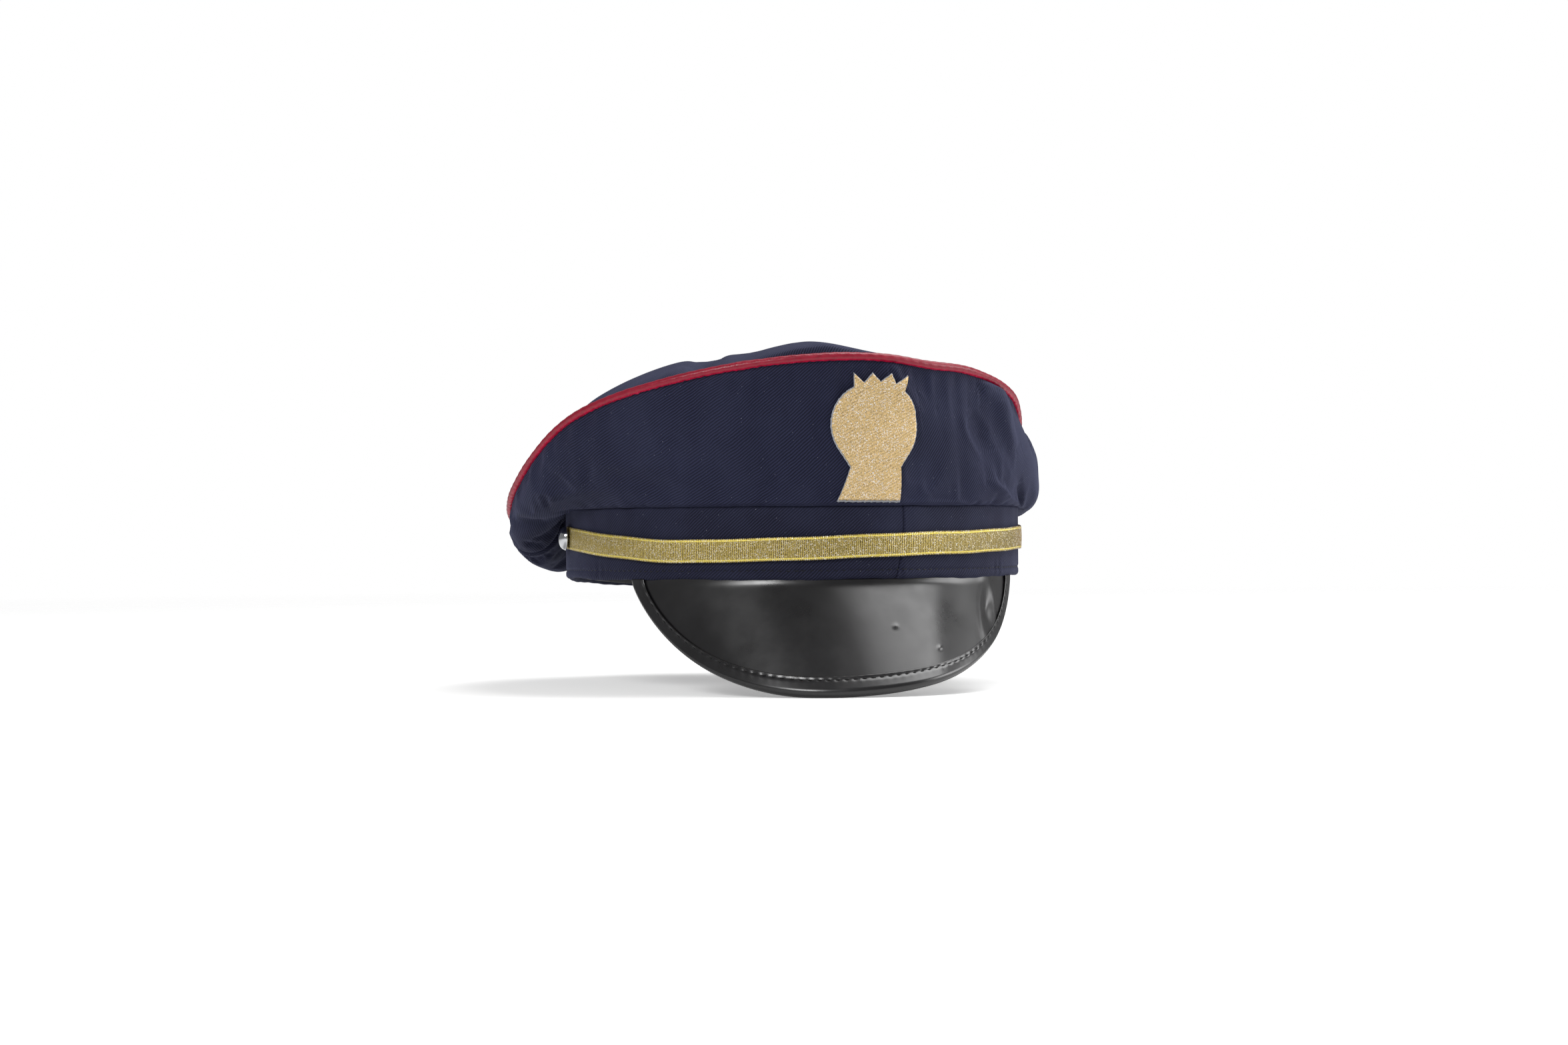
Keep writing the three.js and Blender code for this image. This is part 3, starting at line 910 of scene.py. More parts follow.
@dataclass(frozen=True)
class Satin(Finish):
    """Crimson satin on the bias, with a painted highlight and painted glints along the puckered line that it
    is stitched down on.
    """

    deep: str = "74041e"
    bright: str = "c4063a"
    # The flash colour is painted glints on the puckers.
    flash: str = "ff6f9a"

    def material(self) -> Material:
        """Slanting threads, a painted highlight along the stitched side and painted glints in its puckers.

        Returns:
            The material.
        """
        material, bench, shader = self.begin(
            Specular_IOR_Level=0.45,
            Anisotropic=0.5,
            Sheen_Weight=0.05,
            Sheen_Roughness=0.3,
            Sheen_Tint=paint("ff8fa8"),
        )
        cut = self.cut(bench)
        parts = bench.node("SeparateXYZ", {0: cut})
        along, across = parts.outputs[0], parts.outputs[1]
        threads = bench.wave(bench.sum("ADD", along, across), 5200)
        cloud = bench.noise(cut, 420, 3, 0.6)
        # Painted highlight: the puckered, stitched side is lightened.
        stitched = bench.sum("MULTIPLY", bench.spread(across, -1.1 * MM, -0.2 * MM, 1, 0), cloud)
        tone = bench.sum("MULTIPLY_ADD", cloud, 0.5, bench.sum("MULTIPLY", stitched, 0.9))
        colour = bench.mix(bench.spread(tone, 0.1, 0.9), paint(self.deep), paint(self.bright))
        # Painted glints: pale pink specks over the stitched side.
        specks = use(bench, Groups.specks, Place=cut, Density=1500.0, Size=0.3, Share=0.3)
        flash = bench.sum("MULTIPLY", specks.outputs["Mask"], bench.spread(stitched, 0.35, 0.75, 0, 0.8))
        colour = bench.mix(flash, colour, paint(self.flash))
        height = bench.sum("ADD", bench.sum("MULTIPLY", threads, 0.3), cloud)
        rough = bench.spread(cloud, 0.2, 0.8, 0.3, 0.48)
        self.end(bench, shader, colour, rough, bench.bump(height, 0.08 * MM, 0.6))
        return material


@dataclass(frozen=True)
class Vinyl(Finish):
    """Black coated vinyl with a haze over its gloss and slow ripples in its skin."""

    colour: str = "0d0c0e"
    worn: str = "1b1a1c"
    low_rough: float = 0.24
    high_rough: float = 0.4
    ripple: float = 0.06 * MM

    def material(self) -> Material:
        """A hazy gloss over an uneven skin.

        Returns:
            The material.
        """
        material, bench, shader = self.begin(Specular_IOR_Level=0.55, Coat_Roughness=0.22)
        place = self.place(bench)
        haze = bench.noise(place, 45, 4, 0.6)
        waves = bench.noise(place, 160, 2, 0.5)
        colour = bench.mix(bench.spread(haze, 0.4, 0.8, 0, 0.6), paint(self.colour), paint(self.worn))
        bench.put(shader.inputs["Coat Weight"], bench.spread(haze, 0.2, 0.8, 0.35, 0.15))
        rough = bench.spread(haze, 0.3, 0.7, self.low_rough, self.high_rough)
        self.end(bench, shader, colour, rough, bench.bump(waves, self.ripple, 0.5))
        return material


@dataclass(frozen=True)
class Lame(Finish):
    """Pale gold lame with painted glints on a few of its flakes, over a slanting weave."""

    dark: str = "6b5230"
    pale: str = "dfc18a"
    # Painted glints: the near-white colour of the flakes that flash.
    painted_glint: str = "eceae6"

    def material(self) -> Material:
        """Flakes of every brightness, with painted shade in the pits between them and in the weave's grooves.

        Returns:
            The material.
        """
        material, bench, shader = self.begin(Specular_IOR_Level=0.5)
        cut = self.cut(bench)
        flakes = use(bench, Groups.flakes, Place=cut, Density=4200.0, Flash=0.9)
        weave = use(bench, Groups.twill, Cut=cut, Pitch=1.1 * MM, Angle=math.radians(28), Waver=1.2)
        # Painted shade: the tone follows the height of the pits and the weave, darker where they lie low.
        pits = bench.noise(cut, 1500, 4, 0.75)
        tone = bench.sum("MULTIPLY_ADD", flakes.outputs["Value"], 0.45, bench.sum("MULTIPLY", pits, 0.75))
        tone = bench.sum("MULTIPLY_ADD", weave.outputs["Height"], 0.22, tone)
        colour = bench.mix(bench.spread(tone, 0.25, 0.8), paint(self.dark), paint(self.pale))
        # Painted glints on the flashing flakes.
        colour = bench.mix(flakes.outputs["Flash"], colour, paint(self.painted_glint))
        bench.put(shader.inputs["Metallic"], bench.spread(tone, 0.3, 0.8, 0.25, 0.65))
        rough = bench.spread(flakes.outputs["Value"], 0, 1, 0.32, 0.6)
        height = bench.sum("ADD", pits, bench.sum("MULTIPLY", flakes.outputs["Height"], 0.6))
        height = bench.sum("MULTIPLY_ADD", weave.outputs["Height"], 0.5, height)
        self.end(bench, shader, colour, rough, bench.bump(height, 0.16 * MM, 0.7))
        return material


@dataclass(frozen=True)
class GiltRibbon(Finish):
    """Ribbed gilt ribbon: bright yellow selvedges, painted shade between its ribs, painted glints on its
    flakes, and duller ends, the wearer's left one tinted rose-brown.
    """

    width: float
    length: float
    pitch: float = 0.8 * MM
    # The groove colour is painted shade between the ribs.
    groove: str = "342a10"
    gold: str = "cdb668"
    selvedge: str = "ecd765"
    # Painted glints: the near-white colour of the flakes that flash.
    painted_glint: str = "f2eee2"
    rose: str = "9c7a5c"

    def material(self) -> Material:
        """Ribs across the ribbon, with painted shade between them and flakes caught in them.

        Returns:
            The material.
        """
        material, bench, shader = self.begin(Specular_IOR_Level=0.5)
        cut = self.cut(bench)
        parts = bench.node("SeparateXYZ", {0: cut})
        along, across = parts.outputs[0], parts.outputs[1]
        ribs = bench.wave(along, math.tau / self.pitch)
        flakes = use(bench, Groups.flakes, Place=cut, Density=4600.0, Flash=0.9)
        # Towards each end the ribs fade and the tone lifts, and the wearer's left end is tinted rose-brown.
        end = bench.spread(along, -self.length / 2, -self.length / 2 + 34 * MM, 1, 0)
        far = bench.spread(along, self.length / 2 - 70 * MM, self.length / 2 - 30 * MM, 0, 1)
        mottle = bench.sum("MAXIMUM", end, far)
        mottle_off = bench.sum("SUBTRACT", 1, bench.sum("MULTIPLY", mottle, 0.7))
        # Painted shade between the ribs: the tone follows the ribs' height.
        tone = bench.sum("MULTIPLY", ribs, mottle_off)
        tone = bench.sum("MULTIPLY_ADD", flakes.outputs["Value"], 0.5, bench.sum("MULTIPLY", tone, 0.6))
        tone = bench.sum("MULTIPLY_ADD", mottle, 0.2, tone)
        colour = bench.mix(bench.spread(tone, 0.1, 0.95), paint(self.groove), paint(self.gold))
        colour = bench.mix(bench.sum("MULTIPLY", far, 0.55), colour, paint(self.rose))
        edge = bench.sum("ABSOLUTE", across)
        line = bench.sum("ABSOLUTE", bench.sum("SUBTRACT", edge, self.width / 2 - 0.75 * MM))
        line = bench.sum("MULTIPLY", bench.spread(line, 0.15 * MM, 0.4 * MM, 0.9, 0), mottle_off)
        colour = bench.mix(line, colour, paint(self.selvedge))
        # Painted glints on a few flakes, fewer towards the ends.
        flash = bench.sum("MULTIPLY", flakes.outputs["Flash"], bench.spread(mottle, 0, 1, 0.85, 0.7))
        colour = bench.mix(flash, colour, paint(self.painted_glint))
        bench.put(shader.inputs["Metallic"], bench.spread(tone, 0, 1, 0.45, 0.8))
        rough = bench.spread(flakes.outputs["Value"], 0, 1, 0.26, 0.5)
        height = bench.sum("MULTIPLY_ADD", ribs, 0.8, bench.sum("MULTIPLY", flakes.outputs["Height"], 0.8))
        self.end(bench, shader, colour, rough, bench.bump(height, 0.12 * MM, 0.7))
        return material


@dataclass(frozen=True)
class Polished(Finish):
    """Plated metal with hairline scratches."""

    colour: str = "d4d6da"

    def material(self) -> Material:
        """A bright mirror that is a little uneven.

        Returns:
            The material.
        """
        material, bench, shader = self.begin(Metallic=1.0)
        place = self.place(bench)
        cloud = bench.noise(place, 700, 4, 0.7)
        stretched = bench.node("Mapping", {"Vector": place, "Scale": (400, 2600, 6000)}).outputs[0]
        scratch = bench.noise(stretched, 1, 2, 0.5)
        colour = bench.mix(bench.spread(cloud, 0.3, 0.8, 0, 0.35), paint(self.colour), paint("9c9b9a"))
        rough = bench.spread(cloud, 0.3, 0.7, 0.05, 0.16)
        self.end(bench, shader, colour, rough, bench.bump(scratch, 0.02 * MM, 0.3))
        return material


@dataclass(frozen=True)
class Fibrous(Finish):
    """A dull fibrous sheet, cord or thread: board, felt, buckram, cotton."""

    dark: str
    pale: str
    scale: float = 900
    depth: float = 0.1 * MM
    weave: float = 0

    def material(self) -> Material:
        """Mixed fibres, with an open weave where there is one.

        Returns:
            The material.
        """
        material, bench, shader = self.begin(Specular_IOR_Level=0.2, Sheen_Weight=0.2, Sheen_Roughness=0.5)
        place = self.place(bench)
        fibres = bench.noise(place, self.scale, 4, 0.7)
        tone = fibres
        if self.weave:
            parts = bench.node("SeparateXYZ", {0: place})
            turns = [bench.sum("MULTIPLY", parts.outputs[k], math.pi / self.weave) for k in (0, 2)]
            warp, weft = (bench.sum("ABSOLUTE", bench.sum("SINE", turn)) for turn in turns)
            tone = bench.sum("MULTIPLY", bench.sum("MAXIMUM", warp, weft), fibres)
        colour = bench.mix(bench.spread(tone, 0.25, 0.75), paint(self.dark), paint(self.pale))
        rough = bench.spread(fibres, 0.2, 0.8, 0.75, 0.95)
        self.end(bench, shader, colour, rough, bench.bump(tone, self.depth, 0.6))
        return material


# ---------------------------------------------------------------- the cap's pieces


class SubAssembly:
    """What every sub-assembly does with a finished piece."""

    def fit(
        self,
        piece: Object,
        finish: Material,
        slot: Slot,
        *nodes: str,
        body: Body = Body.CAP,
    ) -> Object:
        """Dress a piece, let it ride on its body and stand for its nodes.

        Args:
            piece: The finished mesh.
            finish: Its material.
            slot: The record's slot for that material; not used.
            *nodes: The frame's nodes that it stands for.
            body: The body that it moves with.

        Returns:
            The piece.
        """
        piece.data.materials.clear()
        piece.data.materials.append(finish)
        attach(piece, body.value)
        if nodes:
            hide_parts(*nodes)
        LOG.info("%s: %d faces on %s", piece.name, len(piece.data.polygons), body.value)
        return piece

    def dress(self, node: str, finish: Material, slot: Slot) -> None:
        """Give a node of the frame its finish.

        Args:
            node: The node's name.
            finish: Its material.
            slot: The record's slot for it; not used.
        """
        piece = frame["nodes"][node]
        piece.data.materials.clear()
        piece.data.materials.append(finish)
        LOG.info("%s: kept from the frame", node)


@dataclass(frozen=True)
class Stitching:
    """A row of separate lock stitches, each a short rounded length of thread.

    Attributes:
        length: Length of the thread that shows at each stitch.
        radius: Half the thread's thickness.
        spacing: From the start of one stitch to the start of the next.
    """

    length: float
    radius: float
    spacing: float

    def stations(self, length: float) -> Array:
        """Evenly spaced stitches along a line, as distances from its start."""
        count = int(length // self.spacing)
        return (np.arange(count) + 0.5) / count * length

    def one(self) -> tuple[Array, list[tuple[int, ...]]]:
        """Model one stitch lying along X: its corners and its faces.

        Returns:
            Its corners, and the corners of each face.
        """
        bpy.ops.object.select_all(action="DESELECT")
        bpy.ops.mesh.primitive_uv_sphere_add(segments=6, ring_count=6, radius=self.radius)
        stitch = bpy.context.object
        bpy.ops.object.mode_set(mode="EDIT")
        bpy.ops.mesh.select_all(action="SELECT")
        bpy.ops.transform.rotate(value=math.pi / 2, orient_axis="Y", center_override=(0, 0, 0))
        bpy.ops.transform.resize(value=(self.length / (2 * self.radius), 1, 1), center_override=(0, 0, 0))
        bpy.ops.object.mode_set(mode="OBJECT")
        corners = np.array([v.co for v in stitch.data.vertices])
        ends = np.abs(corners[:, 0]) / (self.length / 2)
        corners[:, 2] -= self.radius * 1.2 * ends**3
        faces = [tuple(p.vertices) for p in stitch.data.polygons]
        discard(stitch)
        return corners, faces

    def row(self, name: str, places: Array, along: Array, up: Array) -> Object:
        """Lay a copy of the stitch at each place.

        Args:
            name: The row's name.
            places: Middles of the stitches.
            along: The direction of each stitch.
            up: The direction that the cloth faces there.

        Returns:
            One piece that holds all the stitches.
        """
        corners, faces = self.one()
        side = unit(np.cross(up, along))
        turns = np.stack([unit(along), side, unit(np.cross(along, side))], 1)
        points = np.einsum("kc,ncd->nkd", corners, turns) + places[:, None]
        count = len(corners)
        all_faces = [tuple(c + n * count for c in face) for n in range(len(places)) for face in faces]
        return stand_alone(name, points, all_faces)


@dataclass(frozen=True)
class Band(SubAssembly):
    """The head band: one strip of twill folded up inside at its lower edge, over a stiffener."""

    form: HeadForm
    cloth: float = CLOTH
    vinyl: float = VINYL
    fold_radius: float = 1.6 * MM
    hem_depth: float = 8 * MM
    stitch_height: float = 3.5 * MM
    turn_in: float = 1.1 * MM
    seam_angle: float = 12.4
    seam_lap: tuple[float, float] = (4 * MM, 14 * MM)
    puckers: tuple[tuple[float, float], ...] = (
        (-11.5, 2.6), (12.6, 1.6), (-70, 2.2), (48, 2.4), (96, 3), (-128, 3),
    )
    waves: tuple[tuple[float, float, float], ...] = ((1, 11, 0.4), (0.7, 19, 2.0), (0.5, 43, 1.1))
    hem_waves: tuple[tuple[float, float, float], ...] = ((0.22, 7, 0.3), (0.16, 17, 1.0), (0.08, 61, 2.2))
    stitching: Stitching = Stitching(length=2.5 * MM, radius=0.22 * MM, spacing=3.1 * MM)

    def profile(self) -> Array:
        """The strip's outer face as (out, up) points, from the hem's top round the fold to the seam.

        Returns:
            Points, shape (count, 2).
        """
        outside = self.form.band_outside
        radius = self.fold_radius
        inside = outside - 2 * radius
        inner = [(inside, h) for h in np.linspace(self.hem_depth, radius, 8)[:-1]]
        turn = np.radians(np.linspace(180, 360, 15))
        fold = [(outside - radius + radius * math.cos(t), radius + radius * math.sin(t)) for t in turn]
        lower = [(outside, h) for h in np.linspace(radius, 6 * MM, 16)[1:]]
        top = self.form.band_height
        middle = [(outside, h) for h in np.linspace(6 * MM, top - self.turn_in, 18)[1:]]
        turn = np.radians(np.linspace(0, 90, 8))[1:]
        bend = self.turn_in
        tuck = [(outside - bend * (1 - math.cos(t)), top - bend * (1 - math.sin(t))) for t in turn]
        return np.array(inner + fold + lower + middle + tuck)

    def unevenness(self, angle: Array, out: Array, up: Array) -> tuple[Array, Array]:
        """How far stitching and handling push the cloth out and up.

        Args:
            angle: Degrees round the head.
            out: Distance outside the sweatband's inner face.
            up: Height above the band's lower edge.

        Returns:
            The push outward and the lift.
        """
        outer = smoothstep(out, self.form.band_outside - 2 * MM, self.form.band_outside - 0.4 * MM)
        turn = np.radians(angle)
        pull = hump(up - self.stitch_height, 0.55 * MM)
        bites = 0.5 + 0.5 * np.cos(turn * 200)
        push = -(0.34 + 0.12 * bites) * MM * pull * outer
        near = hump(up - self.stitch_height, 3.2 * MM)
        rough = sum(swell(angle, centre, spread) for centre, spread in self.puckers)
        push = push + 0.3 * MM * near * outer * rough * np.cos(turn * 130)
        push = push + 0.12 * MM * outer * wander(turn, self.waves)
        away = (angle - self.seam_angle) * math.radians(1) * self.form.half_length
        away = away - 1.6 * MM * np.sin(up / self.form.band_height * 3) - 0.12 * (up - 14 * MM)
        step = smoothstep(away, -0.3 * MM, 0.3 * MM) - smoothstep(away, *self.seam_lap)
        seam = hump(away + 0.3 * MM, 0.25 * MM)
        push = push + MM * outer * (0.4 * step - 0.5 * seam)
        hang = smoothstep(up, 4 * MM, 0)
        lift = hang * MM * wander(turn, self.hem_waves)
        return push, lift

    def cloth_sheet(self, finish: Material) -> None:
        """Make the twill strip.

        Args:
            finish: Its material.
        """
        angle = np.linspace(-180, 180, 560, endpoint=False)
        angle = np.sort(np.concatenate([angle, self.seam_angle + np.linspace(-2, 2, 50)]))
        profile = self.profile()
        grid_angle, out = crossed(angle, profile[:, 0])
        up = np.broadcast_to(profile[:, 1], out.shape)
        push, lift = self.unevenness(grid_angle, out, up)
        points = self.form.band(grid_angle, out + push, up + lift)
        girth = math.tau * (self.form.half_width + self.form.half_length) / 2
        run = run_of(profile)
        columns = (np.append(angle, 180) + 180) / 360 * girth
        cut = pairs(columns, run)
        piece = Grid(points, cut, round_columns=True).sheet("band_cloth", self.cloth - EASE)
        self.fit(piece, finish, Slot.TWILL, "band_cover")

    def hem_stitches(self, finish: Material) -> None:
        """Sew the hem with a row of stitches that sinks into the cloth.

        Args:
            finish: Its material.
        """
        angle = np.linspace(-180, 180, 1441)
        out = self.form.band_outside
        line = self.form.band(angle, out, self.stitch_height)
        run = run_of(line)
        turn = np.interp(self.stitching.stations(run[-1]), run, angle)
        up = np.full_like(turn, self.stitch_height)
        push, lift = self.unevenness(turn, np.full_like(turn, out), up)
        height = up + lift + 0.12 * MM * wander(np.radians(turn), [(1, 9, 0), (1, 31, 1)])
        places = self.form.band(turn, out + push, height)
        along = self.form.band(turn + 0.5, out, height) - self.form.band(turn - 0.5, out, height)
        row = self.stitching.row("hem_stitches", places, along, self.form.outward(turn))
        self.fit(row, finish, Slot.NAVY_THREAD, "hem_thread")

    def sweatband(self, finish: Material) -> None:
        """Line the head opening with a smooth strip.

        Args:
            finish: Its material.
        """
        height = np.concatenate([[1.0, 1.25], np.linspace(2, 24.6, 14), [25.5, 26.0]]) * MM
        angle = np.linspace(-180, 180, 360, endpoint=False)
        grid_angle, up = crossed(angle, height)
        ease = 0.35 * MM * smoothstep(up, 14 * MM, 25 * MM)
        ease = ease * wander(np.radians(grid_angle), [(0.5, 9, 0.5), (0.35, 23, 1.5)])
        points = self.form.band(grid_angle, self.vinyl + 0 * up, up)
        points = points + self.form.outward(grid_angle) * (ease - 0.1 * MM)[..., None]
        cut = pairs(np.linspace(0, 0.58, len(angle) + 1), height)
        piece = Grid(points, cut, round_columns=True).sheet("sweatband_strip", self.vinyl - EASE)
        self.fit(piece, finish, Slot.VINYL, "sweatband")

    def build(self, kit: "Kit") -> None:
        """Make every piece of the band.

        Args:
            kit: The cap's materials.
        """
        self.cloth_sheet(kit.band_twill)
        self.hem_stitches(kit.navy_thread)
        self.sweatband(kit.lining)
        self.dress("band_stiffener", kit.buckram, Slot.BUCKRAM)


FOLD_SCALE = (1.85 * MM, 66 * MM)  # a degree round the crown, and its wall's whole height


@dataclass(frozen=True)
class Fold:
    """A soft fold or hollow in the crown's cloth.

    Attributes:
        path: (angle, share of the wall's height) from one end of the fold to the other.
        height: How far it stands out; less than 0 for a hollow.
        before: Its width on the side of smaller angles.
        after: Its width on the side of larger angles.
    """

    path: tuple[tuple[float, float], ...]
    height: float
    before: float
    after: float

    def lift(self, angle: Array, share: Array) -> Array:
        """How far the cloth is pushed out at each place.

        Args:
            angle: Degrees round the head.
            share: Share of the wall's height.

        Returns:
            Distances out.
        """
        scale = np.array(FOLD_SCALE)
        here = np.stack([angle, share], -1) * scale
        knots = np.array(self.path) * scale
        best = np.full(angle.shape, np.inf)
        lift = np.zeros(angle.shape)
        steps = np.linspace(0, len(knots) - 1, 8 * len(knots))
        line = spline(knots, steps, closed=False) if len(knots) > 1 else knots
        for k, knot in enumerate(line):
            away = here - knot
            width = np.where(away[..., 0] < 0, self.before, self.after)
            apart = np.linalg.norm(away, axis=-1)
            ends = math.sin(math.pi * (k + 0.5) / len(line)) ** 0.5
            closer = apart / width < best
            best = np.where(closer, apart / width, best)
            lift = np.where(closer, self.height * ends * np.exp(-((apart / width) ** 2)), lift)
        return lift


FRONT_FOLDS = (
    Fold(((-25.5, 0.99), (-22.5, 0.69), (-21.5, 0.43), (-19.0, 0.2)), 2.2 * MM, 6 * MM, 6 * MM),
    Fold(((-34, 0.75), (-31, 0.4), (-27, 0.12)), -1.0 * MM, 12 * MM, 6 * MM),
    Fold(((-14, 0.9), (-14, 0.6), (-13, 0.3)), -0.8 * MM, 8 * MM, 8 * MM),
    Fold(((12.5, 1.0), (15.0, 0.92), (18.0, 0.81), (20.5, 0.72)), 2.6 * MM, 8 * MM, 2.0 * MM),
    Fold(((20, 1.0), (23, 0.9), (26, 0.8)), -0.9 * MM, 4 * MM, 6 * MM),
    Fold(((19.6, 0.83), (21.4, 0.79)), 0.35 * MM, 0.9 * MM, 0.9 * MM),
    Fold(((20.8, 0.86), (22.6, 0.81)), 0.35 * MM, 0.9 * MM, 0.9 * MM),
    Fold(((40, 0.99), (46, 0.93), (54, 0.9)), 3.6 * MM, 8 * MM, 9 * MM),
    Fold(((46, 0.9), (47.5, 0.8), (50, 0.7), (53, 0.6)), 2.0 * MM, 4 * MM, 7 * MM),
    Fold(((36, 0.74), (40, 0.62), (42, 0.5)), -2.4 * MM, 10 * MM, 9 * MM),
    Fold(((33.0, 0.75), (34.0, 0.6), (38.0, 0.42)), 0.9 * MM, 2.4 * MM, 2.2 * MM),
    Fold(((40, 0.27), (46, 0.2), (52, 0.15)), 1.5 * MM, 4 * MM, 4 * MM),
    Fold(((58, 0.33), (63, 0.2), (66, 0.06)), -2.6 * MM, 4 * MM, 3 * MM),
    Fold(((70, 0.94), (78, 0.9), (86, 0.86)), 3.6 * MM, 9 * MM, 9 * MM),
    Fold(((70, 0.45), (73, 0.3), (74, 0.12)), 1.4 * MM, 7 * MM, 7 * MM),
    Fold(((-78, 0.95), (-76, 0.6), (-66, 0.3), (-52, 0.14)), 1.2 * MM, 9 * MM, 6 * MM),
    Fold(((-60, 0.5), (-48, 0.25), (-40, 0.06)), -0.9 * MM, 8 * MM, 8 * MM),
    Fold(((88, 0.8), (92, 0.5), (95, 0.2)), 1.5 * MM, 6 * MM, 8 * MM),
    Fold(((-96, 0.9), (-93, 0.6), (-92, 0.2)), -1.2 * MM, 6 * MM, 6 * MM),
)

REAR_FOLDS = (
    Fold(((128, 0.9), (132, 0.5), (130, 0.1)), -1.5 * MM, 7 * MM, 9 * MM),
    Fold(((150, 0.95), (147, 0.5), (150, 0.08)), 1.6 * MM, 9 * MM, 6 * MM),
    Fold(((168, 0.7), (172, 0.4), (170, 0.05)), -1.3 * MM, 7 * MM, 8 * MM),
    Fold(((188, 0.95), (185, 0.6), (190, 0.2)), 1.4 * MM, 8 * MM, 6 * MM),
    Fold(((205, 0.8), (208, 0.4), (204, 0.05)), -1.5 * MM, 7 * MM, 7 * MM),
    Fold(((226, 0.9), (230, 0.5), (228, 0.1)), 1.5 * MM, 8 * MM, 8 * MM),
)


@dataclass(frozen=True)
class Crown(SubAssembly):
    """The soft crown: a front panel, a rear panel and a round top, sewn to the band and the piping."""

    form: HeadForm
    cloth: float = CLOTH
    side_seam: float = 110
    seam_depth: float = 0.96 * MM
    stay_angle: float = 35
    crease_start: tuple[float, float] = (-55 * MM, -85 * MM)
    crease_way: tuple[float, float] = (0.225, 0.974)
    crease_fade: tuple[float, float] = (110 * MM, 30 * MM)
    calm_from: float = 0.74
    calm_to: float = 0.86
    stay_rows: tuple[float, float] = (0.06, 0.74)
    stay_depth: float = 2.4 * MM

    def sewn_in(self, angle: Array, share: Array) -> Array:
        """How the cloth turns in over the band's top edge and up into the piping.

        Args:
            angle: Degrees round the head.
            share: Share of the wall's height.

        Returns:
            Steps from the free cloth.
        """
        foot = hump(share, 0.02)[..., None]
        head = hump(1 - share, 0.02)[..., None]
        into_band = self.form.outward(angle) * -1.7 * MM - np.array([0, 0, 0.5 * MM])
        into_piping = self.form.outward(angle) * 0.2 * MM + np.array([0, 0, 1.5 * MM])
        return foot * into_band + head * into_piping

    def side_seams(self, angle: Array) -> Array:
        """How far the cloth sinks where the front and rear panels are sewn together."""
        round_it = np.abs((angle + 180) % 360 - 180)
        return -self.seam_depth * hump(round_it - self.side_seam, 0.7)

    def fullness(self, angle: Array, share: Array) -> Array:
        """Slack that shows as a soft roll beside each seam and as shallow gathers along the band.

        Args:
            angle: Degrees round the head.
            share: Share of the wall's height.

        Returns:
            Distances out.
        """
        middle = np.sin(np.pi * np.clip(share, 0, 1))
        turn = np.radians(angle)
        gathers = wander(turn, [(0.3, 23, 0.2), (0.25, 37, 1.9), (0.18, 61, 0.7)])
        calm = 1 - 0.75 * swell(angle, 0, 45)
        beside = np.exp(-share / 0.1) * (1 - np.exp(-share / 0.03))
        above = np.exp(-(1 - share) / 0.07) * (1 - np.exp(-(1 - share) / 0.02))
        broad = wander(turn, [(0.4, 5, 1.2), (0.25, 9, 0.3), (0.15, 14, 2.5)]) * calm * middle
        return MM * (calm * gathers * (1.6 * beside + 1.1 * above) + broad + 0.5 * above)

    def wall(self, angle: Array, share: Array, folds: Sequence[Fold]) -> Array:
        """The crown's side with its folds.

        Args:
            angle: Degrees round the head.
            share: Share of the wall's height.
            folds: The folds of that panel.

        Returns:
            Points.
        """
        push = self.side_seams(angle) + self.fullness(angle, share)
        free = smoothstep(share, 0, 0.03) * smoothstep(share, 1, 0.97)
        push = (push + sum(fold.lift(angle, share) for fold in folds)) * free
        normal = self.form.wall_facing(angle, share)
        return self.form.wall(angle, share) + normal * push[..., None] + self.sewn_in(angle, share)

    def front(self, angle: Array, share: Array) -> Array:
        """The front panel's face."""
        return self.wall(angle, share, FRONT_FOLDS)

    def rear(self, angle: Array, share: Array) -> Array:
        """The rear panel's face, with angles from one side seam to the other through 180."""
        return self.wall(angle, share, REAR_FOLDS)

    def settled(self, surface: Surface, u: Array, v: Array, closed: bool, ends: bool, cap: float,
                fullness: float, air: float) -> Array:
        """A surface's points after its cloth has settled.

        Args:
            surface: The cloth's face.
            u: The fine grid's columns.
            v: The fine grid's rows.
            closed: Whether the columns go all the way round.
            ends: Whether the first row is sewn down as well as the last.
            cap: The furthest that a point may move.
            fullness: How much larger the cloth is than its shape.
            air: How firmly it is filled out.

        Returns:
            The fine grid's points.
        """
        fine = surface(*crossed(u, v))
        columns = max(24, len(u) // 3)
        rows = max(12, len(v) // 3)
        coarse_u = np.linspace(u[0], u[-1] + (u[1] - u[0] if closed else 0), columns, endpoint=not closed)
        coarse_v = np.linspace(v[0], v[-1], rows)
        coarse = surface(*crossed(coarse_u, coarse_v))
        pinned = np.zeros(coarse.shape[:2])
        pinned[:, -1] = 1
        if ends:
            pinned[:, 0] = 1
        if not closed:
            pinned[[0, -1]] = 1
        moved = drape(coarse, pinned, closed, fullness, air)
        far = np.linalg.norm(moved, axis=-1, keepdims=True)
        moved = moved * (cap * np.tanh(far / cap) / np.maximum(far, 1e-9))
        share_u = (u - u[0]) / (coarse_u[-1] - coarse_u[0] + (coarse_u[1] - coarse_u[0] if closed else 0))
        share_v = (v - v[0]) / (v[-1] - v[0])
        return fine + resample(moved, share_u, share_v, closed)

